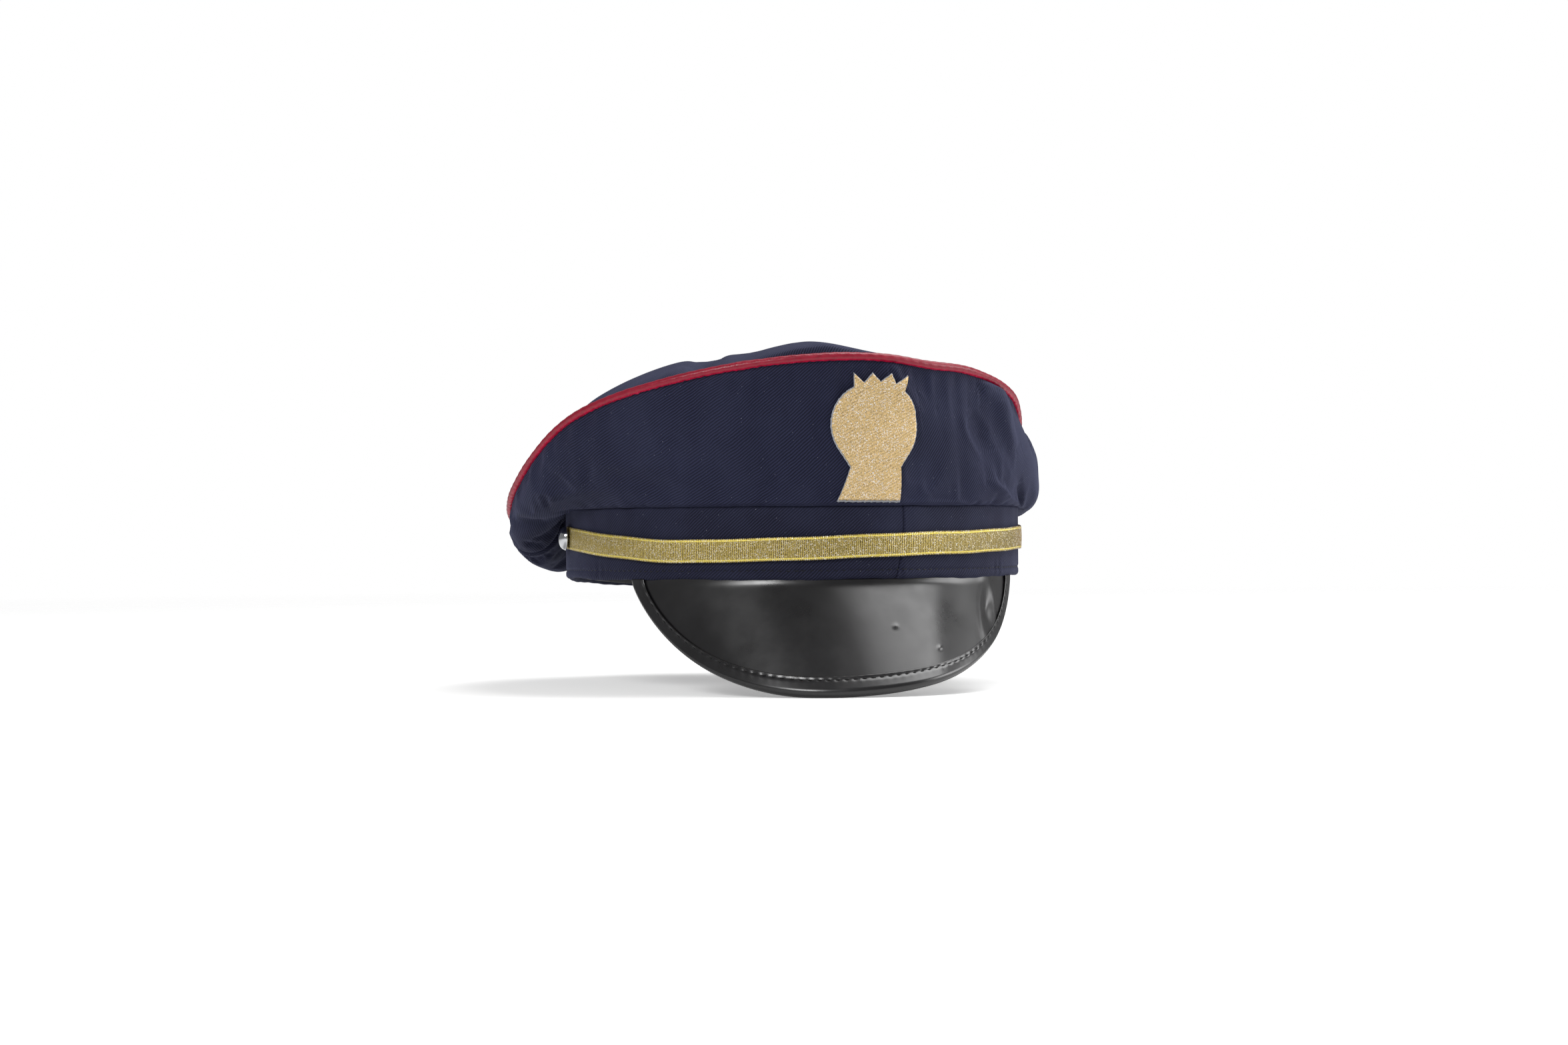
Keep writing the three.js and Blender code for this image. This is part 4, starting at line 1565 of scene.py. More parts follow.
    def panel(self, name: str, surface: Surface, angles: tuple[float, float], columns: int, spread: float,
              cap: float) -> tuple[Object, float]:
        """Make one side panel.

        Args:
            name: Its name.
            surface: Its face.
            angles: Where it starts and ends.
            columns: How many columns it has.
            spread: How far its flat cut fans out, as turns of the cut for each turn of the head.
            cap: How far its cloth may settle.

        Returns:
            The panel, with no finish yet, and the area of its flat cut.
        """
        angle = np.linspace(*angles, columns)
        if angles[0] < 0:
            angle = np.sort(np.concatenate([angle, np.linspace(9, 27, 61)]))
        share = rows_between(0, 1, 84, 0.5, 0.5)
        points = self.settled(surface, angle, share, False, True, cap, 0.02, 1.5)
        height = lengths(points, 1)
        turn = np.radians(angle - (angles[0] + angles[1]) / 2)[:, None]
        if spread:
            reach = MEAN_RADIUS / spread + height
            cut = np.stack([reach * np.sin(turn * spread), reach * np.cos(turn * spread)], -1)
        else:
            cut = np.stack([turn * MEAN_RADIUS + 0 * height, height], -1)
        grid = Grid(points, cut)
        return grid.sheet(name, self.cloth - EASE), grid.flat_area()

    def tip(self, angle: Array, share: Array) -> Array:
        """The round top: share is 0 at the piping and 1 in the middle.

        Args:
            angle: Degrees round the head.
            share: Share of the way in.

        Returns:
            Points.
        """
        form = self.form
        angle, share = np.broadcast_arrays(np.asarray(angle, float), np.asarray(share, float))
        q = 1 - share
        edge = form.edge(angle, -0.9 * MM, 0.9 * MM)
        x = form.tip_centre[0] + (edge[..., 0] - form.tip_centre[0]) * q
        y = form.tip_centre[1] + (edge[..., 1] - form.tip_centre[1]) * q
        z = form.top + (edge[..., 2] - form.top) * q**form.tip_fullness
        return np.stack([x, y, z + self.tip_lift(angle, q, x, y)], -1)

    def tip_lift(self, angle: Array, q: Array, x: Array, y: Array) -> Array:
        """Rolls, gathers and the deep crease of the top's cloth, with the rise beside it.

        Args:
            angle: Degrees round the head.
            q: Share of the way out from the middle.
            x: Place across.
            y: Place back.

        Returns:
            Distances up.
        """
        turn = np.radians(angle)
        inside = 1 - q
        roll = np.exp(-inside / 0.16) * (1 - np.exp(-inside / 0.035))
        left = swell(angle, -62, 30)
        lift = MM * roll * (2.2 + 1.6 * left + 0.8 * swell(angle, 0, 22))
        lift = lift - 1.2 * MM * swell(angle, -72, 42) * hump(inside - 0.34, 0.28)
        gathers = wander(turn, [(0.5, 17, 0.3), (0.4, 29, 1.4), (0.3, 47, 0.8)])
        lift = lift + MM * 1.2 * gathers * roll * (1 - 0.6 * swell(angle, 10, 30))
        rim = smoothstep(q, 1.0, 0.97)
        along = np.array(self.crease_way)
        from_start = np.stack([x, y], -1) - np.array(self.crease_start)
        off = from_start[..., 0] * along[1] - from_start[..., 1] * along[0]
        fade = smoothstep(from_start @ along, *self.crease_fade)
        valley = -6.5 * MM * hump(off, 5.5 * MM) * fade
        lip = -1.2 * MM * hump(off - 17 * MM, 10 * MM) * fade
        lip = lip + 3.6 * MM * hump(off - 43 * MM, 19 * MM) * fade
        broad = np.sin(x * 40 + 0.3) * np.sin(y * 34 + 1)
        return lift + rim * (valley + lip) + 1.12 * MM * broad * inside

    def top(self) -> Object:
        """Make the round top, with no finish yet.

        Returns:
            The piece.
        """
        angle = np.linspace(-180, 180, 420, endpoint=False)
        share = rows_between(0, 0.985, 84, 0.8, 0)
        points = self.settled(self.tip, angle, share, True, False, 3 * MM, 0.02, 2.0)
        moved = points - self.tip(*crossed(angle, share))
        inner = moved[:, share < self.calm_to][:, -1].mean(0)
        calm = smoothstep(share, self.calm_from, self.calm_to)[None, :, None]
        points = points + (inner - moved) * calm
        middle = points[:, -1].mean(0)
        points = np.concatenate([points, np.broadcast_to(middle, (len(angle), 1, 3))], 1)
        reach = lengths(points[:, ::-1], 1)[:, ::-1]
        turn = np.radians(angle)[:, None]
        cut = np.stack([reach * np.sin(turn), -reach * np.cos(turn)], -1)
        cut = np.concatenate([cut, cut[:1]], 0)
        piece = Grid(points, cut, round_columns=True).sheet("crown_top_cloth", self.cloth - EASE, poled=True)
        return piece

    def stay(self, finish: Material) -> None:
        """Make the buckram stay behind the front panel.

        Args:
            finish: Its material.
        """
        angle = np.linspace(-self.stay_angle, self.stay_angle, 72)
        share = np.linspace(*self.stay_rows, 30)
        grid_angle, grid_share = crossed(angle, share)
        normal = self.form.wall_facing(grid_angle, grid_share)
        points = self.front(grid_angle, grid_share) - normal * self.stay_depth
        cut = pairs(np.radians(angle) * MEAN_RADIUS, share * 0.06)
        piece = Grid(points, cut).sheet("front_stay_sheet", 0.6 * MM)
        self.fit(piece, finish, Slot.BUCKRAM, "front_stay")

    def build(self, kit: "Kit") -> None:
        """Make every piece of the crown.

        Args:
            kit: The cap's materials.
        """
        seam = self.side_seam
        front, area = self.panel("crown_front_cloth", self.front, (-seam, seam), 376, 1 / 3, 1.2 * MM)
        self.fit(front, kit.front_twill, Slot.TWILL, "crown_side_front")
        rear, area = self.panel("crown_rear_cloth", self.rear, (seam, 360 - seam), 260, 0, 3 * MM)
        self.fit(rear, kit.rear_twill, Slot.TWILL, "crown_side_rear")
        top = self.top()
        self.fit(top, kit.top_twill, Slot.TWILL, "crown_tip")
        self.stay(kit.buckram)


@dataclass(frozen=True)
class Piping(SubAssembly):
    """Satin wrapped over a cotton cord, sewn in along the crown's edge."""

    form: HeadForm
    join_angle: float = -19.4
    core_radius: float = 0.896 * MM

    def satin(self, finish: Material) -> None:
        """Make the satin cover with its stitched side puckered and its two ends lapped.

        Args:
            finish: Its material.
        """
        columns, sides = 1400, 22
        angle = np.linspace(-180, 180, columns, endpoint=False)
        around = np.linspace(-180, 180, sides, endpoint=False)
        grid_angle, grid_around = crossed(angle, around)
        turn = np.radians(grid_angle)
        stitched = swell(grid_around, -75, 50)
        bites = wander(turn, [(0.5, 245, 0.2), (0.35, 178, 1.3), (0.25, 411, 0.4)])
        puckered = 0.35 + 0.65 * smoothstep(-grid_angle, -10, 25)
        radius = self.form.piping_radius * (1 + 0.02 * wander(turn, [(1, 31, 0.4), (1, 13, 1.9)]))
        radius = radius - 0.16 * MM * stitched * puckered * (0.6 + bites)
        radius = radius + 0.05 * MM * np.sin(turn * 150 + np.radians(grid_around) * 2)
        lap = smoothstep(grid_angle, self.join_angle - 0.12, self.join_angle + 0.12)
        lap = lap - smoothstep(grid_angle, self.join_angle + 1, self.join_angle + 6)
        radius = radius + 0.2 * MM * lap
        place = np.radians(grid_around - 20)
        points = self.form.edge(grid_angle, radius * np.cos(place), radius * np.sin(place))
        run = math.tau * sum(self.form.edge_half) / 2
        along = np.linspace(0, run, columns + 1)
        across = np.linspace(-1, 1, sides + 1) * math.pi * self.form.piping_radius
        cut = pairs(along, across)[:, :-1]
        piece = Grid(points, cut, round_columns=True, round_rows=True).mesh("piping_satin")
        self.fit(piece, finish, Slot.SATIN, "piping_cover")

    def core(self, finish: Material) -> None:
        """Make the cotton cord inside the satin.

        Args:
            finish: Its material.
        """
        angle = np.linspace(-180, 180, 360, endpoint=False)
        around = np.linspace(-180, 180, 8, endpoint=False)
        grid_angle, grid_around = crossed(angle, around)
        radius = self.core_radius
        turn = np.radians(grid_around)
        points = self.form.edge(grid_angle, radius * np.cos(turn), radius * np.sin(turn))
        cut = np.zeros((len(angle) + 1, len(around) + 1, 2))
        piece = Grid(points, cut, round_columns=True, round_rows=True).mesh("piping_core")
        self.fit(piece, finish, Slot.CORD, "piping_cord")

    def build(self, kit: "Kit") -> None:
        """Make the piping."""
        self.satin(kit.satin)
        self.core(kit.cotton)


@dataclass(frozen=True)
class Badge(SubAssembly):
    """A gilt lame badge on a felt backing, sewn flat to the front of the crown."""

    crown: Crown
    angle: float = 8
    lean: float = 0.174
    height: float = 58.4 * MM
    disc: float = 16.7 * MM
    spacing: float = 0.7 * MM
    crest: tuple[tuple[float, float], ...] = (
        (10.7, 12.8), (12.1, 18.8), (7.3, 15.6), (5.5, 19.4), (2, 16.6), (-1, 19.9), (-3.9, 16.3),
        (-8, 19.9), (-7.7, 14.8),
    )
    foot: tuple[tuple[float, float], ...] = ((-10.3, -15), (-14.9, -27.6), (11.3, -28), (10, -15))

    def arc(self, start: float, end: float) -> list[tuple[float, float]]:
        """Points of the disc between two directions, in millimetres.

        Args:
            start: First direction in degrees, from the wearer's left.
            end: Last direction.

        Returns:
            The points.
        """
        turns = np.radians(np.linspace(start, end, 12))
        radius = self.disc / MM
        return [(radius * math.cos(t), radius * math.sin(t)) for t in turns]

    def outline(self, spacing: float) -> Array:
        """The outline as evenly spaced points, anticlockwise seen from the front.

        Args:
            spacing: Largest step between points.

        Returns:
            Places on the flat badge.
        """
        corners = [*self.crest, *self.arc(128, 209), *self.foot, *self.arc(-30, 40)]
        loop = np.array(corners + corners[:1]) * MM
        points = []
        for start, end in zip(loop[:-1], loop[1:]):
            count = max(1, round(float(np.linalg.norm(end - start)) / spacing))
            points += [start + (end - start) * k / count for k in range(count)]
        return np.array(points)

    def on_crown(self, flat: Array, stand: Array) -> Array:
        """Lay flat places on the front panel, standing off its cloth.

        Args:
            flat: Places on the flat badge.
            stand: Distances off the cloth.

        Returns:
            Points.
        """
        form = self.crown.form
        girth = math.pi * (form.edge_half[0] + form.half_width + form.band_outside)
        angle = self.angle + (flat[..., 0] + self.lean * flat[..., 1]) * 360 / girth
        low, high = np.zeros_like(angle), np.ones_like(angle)
        for _ in range(22):
            middle = (low + high) / 2
            below = form.wall(angle, middle)[..., 2] < self.height + flat[..., 1]
            low, high = np.where(below, middle, low), np.where(below, high, middle)
        normal = form.wall_facing(angle, low)
        return self.crown.front(angle, low) + normal * np.asarray(stand)[..., None]

    def sheet(self, name: str, thickness: float, stand: float, margin: float) -> Object:
        """Make one layer of the badge, its front face a distance off the crown.

        Args:
            name: Its name.
            thickness: Its thickness.
            stand: Its face's distance off the crown.
            margin: How far it shows past the outline.

        Returns:
            The layer, with no finish yet.
        """
        outline = self.outline(self.spacing)
        fray = 1 + 0.004 * wander(np.arange(len(outline)), [(1, 1.7, 0.2), (0.8, 2.9, 1.1)])
        outline = outline * (fray * (1 + margin / self.disc))[:, None]
        share = rows_between(0.02, 1, 30, 0, 0.3)
        flat = share[:, None, None] * outline[None]
        curl = 0.35 * MM * share[:, None] ** 6 * (0.6 + 0.4 * np.sin(np.arange(len(outline)) * 0.11))
        press = -0.25 * MM * smoothstep(share, 0.97, 1.0)[:, None]
        rise = 0.125 * MM * np.sin(flat[..., 0] * 300 + 0.5) * np.sin(flat[..., 1] * 260 + 0.2)
        points = self.on_crown(flat, stand + curl + press + rise)
        middle = points[0].mean(0)
        points = np.concatenate([np.broadcast_to(middle, (1, *points.shape[1:])), points], 0)
        flat = np.concatenate([0 * flat[:1], flat], 0)
        piece = Grid(points, flat, round_rows=True).sheet(name, thickness, poled=True)
        return piece

    def build(self, kit: "Kit") -> None:
        """Make the backing and the face.

        Args:
            kit: The cap's materials.
        """
        backing = self.sheet("badge_felt", 0.5 * MM, 1.3 * MM, 0.45 * MM)
        self.fit(backing, kit.felt, Slot.FELT, "badge_backing")
        face = self.sheet("badge_lame", 0.35 * MM, 1.75 * MM, 0)
        self.fit(face, kit.lame, Slot.LAME, "badge_face")
        outline = self.outline(self.spacing)
        after = np.roll(outline, -1, 0)
        area = abs(float((outline[:, 0] * after[:, 1] - outline[:, 1] * after[:, 0]).sum())) / 2


@dataclass(frozen=True)
class Peak(SubAssembly):
    """The peak: vinyl over board, lined below, its edge bound with a folded strip and stitched."""

    form: HeadForm
    half_angle: float = 58
    reach: float = 32 * MM
    drop: float = 41 * MM
    taper: float = 10.5 * MM
    skew: float = 0.15
    squareness: float = 2.5
    setback: float = 1.2 * MM
    root_drop: float = 1 * MM
    root_share: float = 0.8
    skin: float = SKIN
    board: float = 0.9 * MM
    tongue: float = 6 * MM
    binding_width: float = 8 * MM
    stitch_inset: float = 6.4 * MM
    pimples: tuple[tuple[float, float], ...] = ((16 * MM, 22 * MM), (37 * MM, 34 * MM))
    dent_middle: tuple[float, float] = (72 * MM, 17 * MM)
    root_tuck: float = 1.5 * MM
    stitched_to: float = 84
    stitching: Stitching = Stitching(length=2.9 * MM, radius=0.3 * MM, spacing=4 * MM)

    @property
    def half_span(self) -> float:
        """Half the length of the root, laid out flat."""
        mean = (self.form.half_width + self.form.half_length) / 2 + self.form.band_outside
        return math.radians(self.half_angle) * mean

    @property
    def depth(self) -> float:
        """From the root to the front of the edge, laid out flat."""
        return math.hypot(self.reach, self.drop)

    def surface(self, along: Array, reach: Array) -> Array:
        """The cover's top face, by place on the flat peak.

        Args:
            along: Place along the root, from its middle.
            reach: Distance ahead of the root.

        Returns:
            Points.
        """
        side = along / self.half_span
        share = reach / self.depth
        root = self.form.band(side * self.half_angle, self.form.band_outside - self.setback, -self.root_drop)
        ahead = -self.reach * share
        down = self.root_tuck * np.exp(-share / 0.012) - self.drop * share * (1 - self.skew * side)
        return root + np.stack([-self.taper * share * side, ahead, down], -1)

    def outline(self, sweep: Array, inset: Array) -> tuple[Array, Array]:
        """The flat peak's outline, moved in from its edge: sweep runs from -90 to 90.

        Args:
            sweep: Degrees along the edge.
            inset: Distance in from the edge.

        Returns:
            Places along and ahead of the root.
        """
        power = 2 / self.squareness

        def at(angle: Array) -> Array:
            """The edge itself.

            Args:
                angle: Degrees along the edge.

            Returns:
                Flat places.
            """
            sine = np.sin(np.radians(angle))
            along = self.half_span * np.sign(sine) * np.abs(sine) ** power
            return np.stack([along, self.depth * np.cos(np.radians(angle))], -1)

        edge = np.clip(sweep, -89.9, 89.9)
        tangent = unit(at(edge + 0.05) - at(edge - 0.05))
        point = at(edge)
        return point[..., 0] + tangent[..., 1] * inset, point[..., 1] - tangent[..., 0] * inset

    def line(self, sweep: Array, inset: float) -> Array:
        """Flat places along the edge, all at one distance in from it."""
        return np.stack(self.outline(sweep, np.full_like(sweep, inset)), -1)

    def raised(self, along: Array, reach: Array, level: Array) -> Array:
        """A point above or below the cover's face, by place on the flat peak.

        Args:
            along: Place along the root, from its middle.
            reach: Distance ahead of the root.
            level: Distance above the face.

        Returns:
            Points.
        """
        step = 0.1 * MM
        wide = self.surface(along + step, reach) - self.surface(along - step, reach)
        back = self.surface(along, reach - step) - self.surface(along, reach + step)
        return self.surface(along, reach) + unit(np.cross(wide, back)) * np.asarray(level)[..., None]

    def dents(self, along: Array, reach: Array) -> Array:
        """Unevenness of the cover: one pressed dent with its raised lip, a slight wave and the pimples.

        Args:
            along: Place along the root, from its middle.
            reach: Distance ahead of the root.

        Returns:
            Distances up.
        """
        dent_along, dent_reach = self.dent_middle
        away = np.hypot((along - dent_along) / (3.4 * MM), (reach - dent_reach) / (8 * MM))
        dent = -1.3 * MM * hump(away, 1)
        lip = 0.35 * MM * np.exp(-((away - 1.9) ** 2) * 3)
        wave = 0.18 * MM * wander(along, [(1, 90, 0.4), (0.6, 190, 1.2)]) * smoothstep(reach, 0, 20 * MM)
        pimples = sum(np.exp(-(((along - x) / MM) ** 2) - ((reach - y) / MM) ** 2) for x, y in self.pimples)
        return dent + lip + wave + 0.35 * MM * pimples

    def panel(self, level: float, inset: float, columns: int, rows: int) -> Grid:
        """One sheet of the peak, from its edge to its root.

        Args:
            level: Its height above the cover's face.
            inset: Distance in from the edge.
            columns: How many columns it has.
            rows: How many rows it has.

        Returns:
            The sheet.
        """
        sweep = np.linspace(-90, 90, columns)
        share = rows_between(0, 1, rows, 0.2, 0.2)
        grid_sweep, grid_share = crossed(sweep, share)
        along, reach = self.outline(grid_sweep, np.full_like(grid_sweep, inset))
        root = self.root_share * self.half_span * grid_sweep / 90
        along = along + (root - along) * grid_share
        reach = reach * (1 - grid_share)
        points = self.raised(along, reach, level + self.dents(along, reach))
        return Grid(points, np.stack([along, reach], -1))

    def cover(self, finish: Material) -> None:
        """Make the vinyl cover.

        Args:
            finish: Its material.
        """
        piece = self.panel(0, 3 * MM, 300, 100).sheet("peak_vinyl", self.skin - EASE)
        self.fit(piece, finish, Slot.VINYL, "peak_cover")

    def stiffener(self, finish: Material) -> None:
        """Make the board between the cover and the lining.

        Args:
            finish: Its material.
        """
        piece = self.panel(-self.skin - GAP / 2, 3.6 * MM, 120, 40).sheet("peak_board_sheet", self.board)
        self.fit(piece, finish, Slot.BOARD, "peak_board")

    def lining(self, finish: Material) -> None:
        """Make the lining, its root turned up inside the band as a tongue.

        Args:
            finish: Its material.
        """
        level = -self.skin - self.board - 2 * GAP
        grid = self.panel(level, 3 * MM, 160, 48)
        angle = np.linspace(-1, 1, 160) * self.root_share * self.half_angle
        height = np.linspace(-self.root_drop, self.tongue, 9)
        grid_angle, up = crossed(angle, height)
        tongue = self.form.band(grid_angle, VINYL + GAP + self.skin, up)
        points = np.concatenate([grid.points[:, :-2], tongue], 1)
        far = grid.cut[:, -1:] + np.stack([0 * up, -(up + self.root_drop)], -1)
        cut = np.concatenate([grid.cut[:, :-2], far], 1)
        piece = Grid(points, cut).sheet("peak_underside", self.skin - EASE)
        self.fit(piece, finish, Slot.VINYL, "peak_lining")

    def binding_profile(self) -> Array:
        """The binding's outer face as (inset, level): under the peak, round its edge and over it.

        Returns:
            Points, shape (count, 2).
        """
        top = GAP + self.skin
        under = -self.skin - self.board - 2 * GAP - 2 * self.skin - GAP
        radius = (top - under) / 2
        level = (top + under) / 2
        width = self.binding_width
        below = [(x, under) for x in np.linspace(width, radius, 16)[:-1]]
        turn = np.radians(np.linspace(-90, -270, 21))
        fold = [(radius + radius * math.cos(t), level + radius * math.sin(t)) for t in turn]
        above = [(x, top) for x in np.linspace(radius, width - 0.35 * MM, 26)[1:]]
        edge = [(width - 0.12 * MM, top - 0.1 * MM), (width, top - 0.32 * MM)]
        return np.array(below + fold + above + edge)

    def pressed(self, run: Array, inset: Array) -> Array:
        """How far the stitching pulls the binding down, and its slight puckers between stitches.

        Args:
            run: Distance along the edge.
            inset: Distance in from the edge.

        Returns:
            Distances up.
        """
        groove = hump(inset - self.stitch_inset, 0.75 * MM)
        near = hump(inset - self.stitch_inset, 2.4 * MM)
        between = np.cos(run * math.tau / self.stitching.spacing)
        slack = wander(run, [(1, 210, 0.3), (0.7, 340, 1.1)])
        return -0.24 * MM * groove * (0.85 - 0.3 * between) + 0.03 * MM * near * (between + slack)

    def binding(self, finish: Material) -> None:
        """Make the folded strip round the edge.

        Args:
            finish: Its material.
        """
        profile = self.binding_profile()
        sweep = np.linspace(-90, 90, 560)
        grid_sweep, inset = crossed(sweep, profile[:, 0])
        level = np.broadcast_to(profile[:, 1], inset.shape)
        line = self.line(sweep, self.stitch_inset)
        run = run_of(line)[:, None] + 0 * inset
        top = level > 0
        along, reach = self.outline(grid_sweep, inset)
        slack = 0.2 * MM * wander(run, [(1, 60, 0.3), (0.8, 133, 1.7)]) * np.exp(-inset / (4 * MM))
        level = level + np.where(top, self.pressed(run, inset), 0) + slack
        points = self.raised(along, reach, level)
        width = run_of(profile)
        cut = np.stack([run, np.broadcast_to(width, run.shape)], -1)
        piece = Grid(points, cut).sheet("peak_binding_strip", self.skin - EASE)
        self.fit(piece, finish, Slot.PATENT, "peak_binding")

    def stitches(self, finish: Material) -> None:
        """Sew the binding down with stitches on the top and on the underside.

        Args:
            finish: Its material.
        """
        sweep = np.linspace(-self.stitched_to, self.stitched_to, 1601)
        flat = self.line(sweep, self.stitch_inset)
        full = np.linspace(-90, 90, 560)
        start = run_of(self.line(full, self.stitch_inset))
        first = float(np.interp(-self.stitched_to, full, start))
        run = first + run_of(flat)
        spacing = self.stitching.spacing
        wanted = (np.arange(math.ceil(run[0] / spacing), math.floor(run[-1] / spacing)) + 0.5) * spacing
        along, reach = (np.interp(wanted, run, flat[:, k]) for k in (0, 1))
        tangent = [np.interp(wanted, run, np.gradient(flat[:, k], run)) * MM for k in (0, 1)]
        top = GAP + self.skin + self.pressed(wanted, np.full_like(wanted, self.stitch_inset)) + 0.05 * MM
        places = self.raised(along, reach, top)
        ahead = self.raised(along + tangent[0], reach + tangent[1], top) - places
        up = self.raised(along, reach, top + MM) - places
        row = self.stitching.row("peak_stitches", places, ahead, up)
        self.fit(row, finish, Slot.BLACK_THREAD, "peak_thread")
        under = self.binding_profile()[0, 1] - 0.05 * MM
        places = self.raised(along, reach, np.full_like(along, under))
        row = self.stitching.row("peak_stitches_below", places, ahead, -up)
        self.fit(row, finish, Slot.BLACK_THREAD)

    def build(self, kit: "Kit") -> None:
        """Make every piece of the peak.

        Args:
            kit: The cap's materials.
        """
        self.cover(kit.vinyl)
        self.lining(kit.lining)
        self.binding(kit.patent)
        self.stitches(kit.black_thread)
        self.stiffener(kit.board)


@dataclass(frozen=True)
class ChinRibbon(SubAssembly):
    """The gilt ribbon that hangs across the front of the band between two buttons."""

    form: HeadForm
    width: float = 9.2 * MM
    thickness: float = 0.6 * MM
    run_gap: float = 1 * MM
    pitch: float = 0.8 * MM
    overrun: float = 4.5 * MM
    dips: tuple[float, ...] = (0, -2.4, -5.2, -4.6, -3.7, -2.7, -1.8, -1, 0)
    eyelet: float = 1.3 * MM

    @property
    def pivot(self) -> Vector:
        """The line of the two buttons."""
        return Vector(next(j for j in frame["joints"] if j["name"] == "ribbon_swing")["pos_m"])

    @property
    def end_angle(self) -> float:
        """Where the ribbon stops, past each button."""
        return 90 + math.degrees(self.overrun / self.form.half_length)

    def face(self, angle: Array, across: Array) -> Array:
        """The ribbon's outer face: across runs from one edge to the other about its centre line.

        Args:
            angle: Degrees round the head.
            across: Distance from the centre line.

        Returns:
            Points.
        """
        share = np.clip((angle + 90) / 180, 0, 1)
        dip = spline(np.array(self.dips) * MM, share * (len(self.dips) - 1), closed=False)
        far = smoothstep(np.abs(angle), 70, 86)
        stand = self.run_gap + (GAP - self.run_gap) * far + self.thickness
        height = self.pivot.z + dip + across
        point = self.form.band(angle, self.form.band_outside + stand, height)
        point[..., 2] = height
        return point

    def length(self) -> float:
        """The ribbon's length along its centre line."""
        angle = np.linspace(-self.end_angle, self.end_angle, 1201)
        return float(run_of(self.face(angle, 0 * angle))[-1])

    def build(self, kit: "Kit") -> None:
        """Make the ribbon with its ribs, its corded edges and an eyelet at each end.

        Args:
            kit: The cap's materials.
        """
        length = self.length()
        columns = int(length / self.pitch) * 5
        angle = np.linspace(-self.end_angle, self.end_angle, columns)
        centre = self.face(angle, 0 * angle)
        run = run_of(centre) - length / 2
        rows = rows_between(-1, 1, 22, 0.35, 0.35)
        grid_run, share = crossed(run, rows)
        grid_angle = np.broadcast_to(angle[:, None], share.shape)
        loops = 0.09 * MM * np.cos(grid_run * math.tau / self.pitch) * np.abs(share) ** 8
        slack = 0.12 * MM * wander(grid_run, [(1, 70, 0.3), (0.7, 190, 1.0)])
        across = share * (self.width / 2 - 0.1 * MM) + np.sign(share) * loops + slack
        points = self.face(grid_angle, across)
        normal = self.form.outward(grid_angle)
        ribs = 0.05 * MM * np.cos(grid_run * math.tau / self.pitch) * (1 - np.abs(share) ** 10)
        cords = 0.1 * MM * hump(np.abs(share) - 0.84, 0.06)
        bow = -0.25 * MM * share**2
        points = points + normal * (ribs + cords + bow - 0.05 * MM)[..., None]
        cut = np.stack([grid_run, share * self.width / 2], -1)
        centres = (points[:-1, :-1] + points[1:, 1:]) / 2
        off = np.hypot(centres[..., 1] - self.pivot.y, centres[..., 2] - self.pivot.z)
        grid = Grid(points, cut, left_out=off < self.eyelet)
        piece = grid.sheet("chin_ribbon_gilt", self.thickness - 2 * EASE)
        self.fit(piece, kit.gilt, Slot.RIBBON, "chin_ribbon", body=Body.RIBBON)


@dataclass(frozen=True)
class Buttons(SubAssembly):
    """The two chrome domes that hold the ribbon, on tacks through the band."""

    rim: float = 0.5 * MM
    lip: float = 0.35 * MM

    def dome(self, hand: str, side: int, finish: Material) -> None:
        """Model one dome from a disc: a rolled rim, then steps up its curve to a closed crown.

        Args:
            hand: "right" or "left" of the wearer.
            side: -1 for the wearer's right, 1 for the left.
            finish: Its material.
        """
        low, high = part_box(f"button_cap_{hand}")
        radius = (high.y - low.y) / 2
        middle = (low + high) / 2
        back = low.x if side > 0 else high.x
        rise = high.x - low.x
        bpy.ops.object.select_all(action="DESELECT")
        bpy.ops.mesh.primitive_circle_add(
            vertices=40,
            radius=radius - self.lip,
            fill_type="NGON",
            location=(0, 0, 0),
            rotation=(0, math.radians(90 * side), 0),
        )
        cap = bpy.context.object
        cap.name = f"button_dome_{hand}"
        bpy.ops.object.transform_apply(location=True, rotation=True, scale=True)
        bpy.ops.object.mode_set(mode="EDIT")
        bpy.ops.mesh.select_all(action="SELECT")
        heights = [self.rim * 0.4, self.rim, self.rim * 1.4]
        widths = [radius, radius, radius - 0.25 * MM]
        for turn in np.radians([8, 20, 34, 48, 62, 76]):
            heights.append(self.rim * 1.4 + (rise - self.rim * 1.4) * math.sin(turn))
            widths.append((radius - 0.3 * MM) * math.cos(turn))
        level, width = 0.0, radius - self.lip
        for next_level, next_width in zip(heights, widths):
            step = {"value": ((next_level - level) * side, 0, 0)}
            bpy.ops.mesh.extrude_region_move(TRANSFORM_OT_translate=step)
            factor = next_width / width
            bpy.ops.transform.resize(value=(1, factor, factor), center_override=(next_level * side, 0, 0))
            level, width = next_level, next_width
        bpy.ops.mesh.inset(thickness=width * 0.5, depth=(rise - level) * 0.8)
        bpy.ops.mesh.select_all(action="SELECT")
        bpy.ops.mesh.normals_make_consistent(inside=False)
        bpy.ops.transform.translate(value=(back, middle.y, middle.z))
        bpy.ops.object.mode_set(mode="OBJECT")
        apply_modifier(cap, "SUBSURF", levels=2, render_levels=2)
        rounded(cap, 50)
        self.fit(cap, finish, Slot.CHROME, f"button_cap_{hand}")

    def build(self, kit: "Kit") -> None:
        """Make both domes and dress their tacks.

        Args:
            kit: The cap's materials.
        """
        for hand, side in (("right", -1), ("left", 1)):
            self.dome(hand, side, kit.chrome)
            self.dress(f"button_tack_{hand}", kit.chrome, Slot.CHROME)


# ---------------------------------------------------------------- finishes of this cap


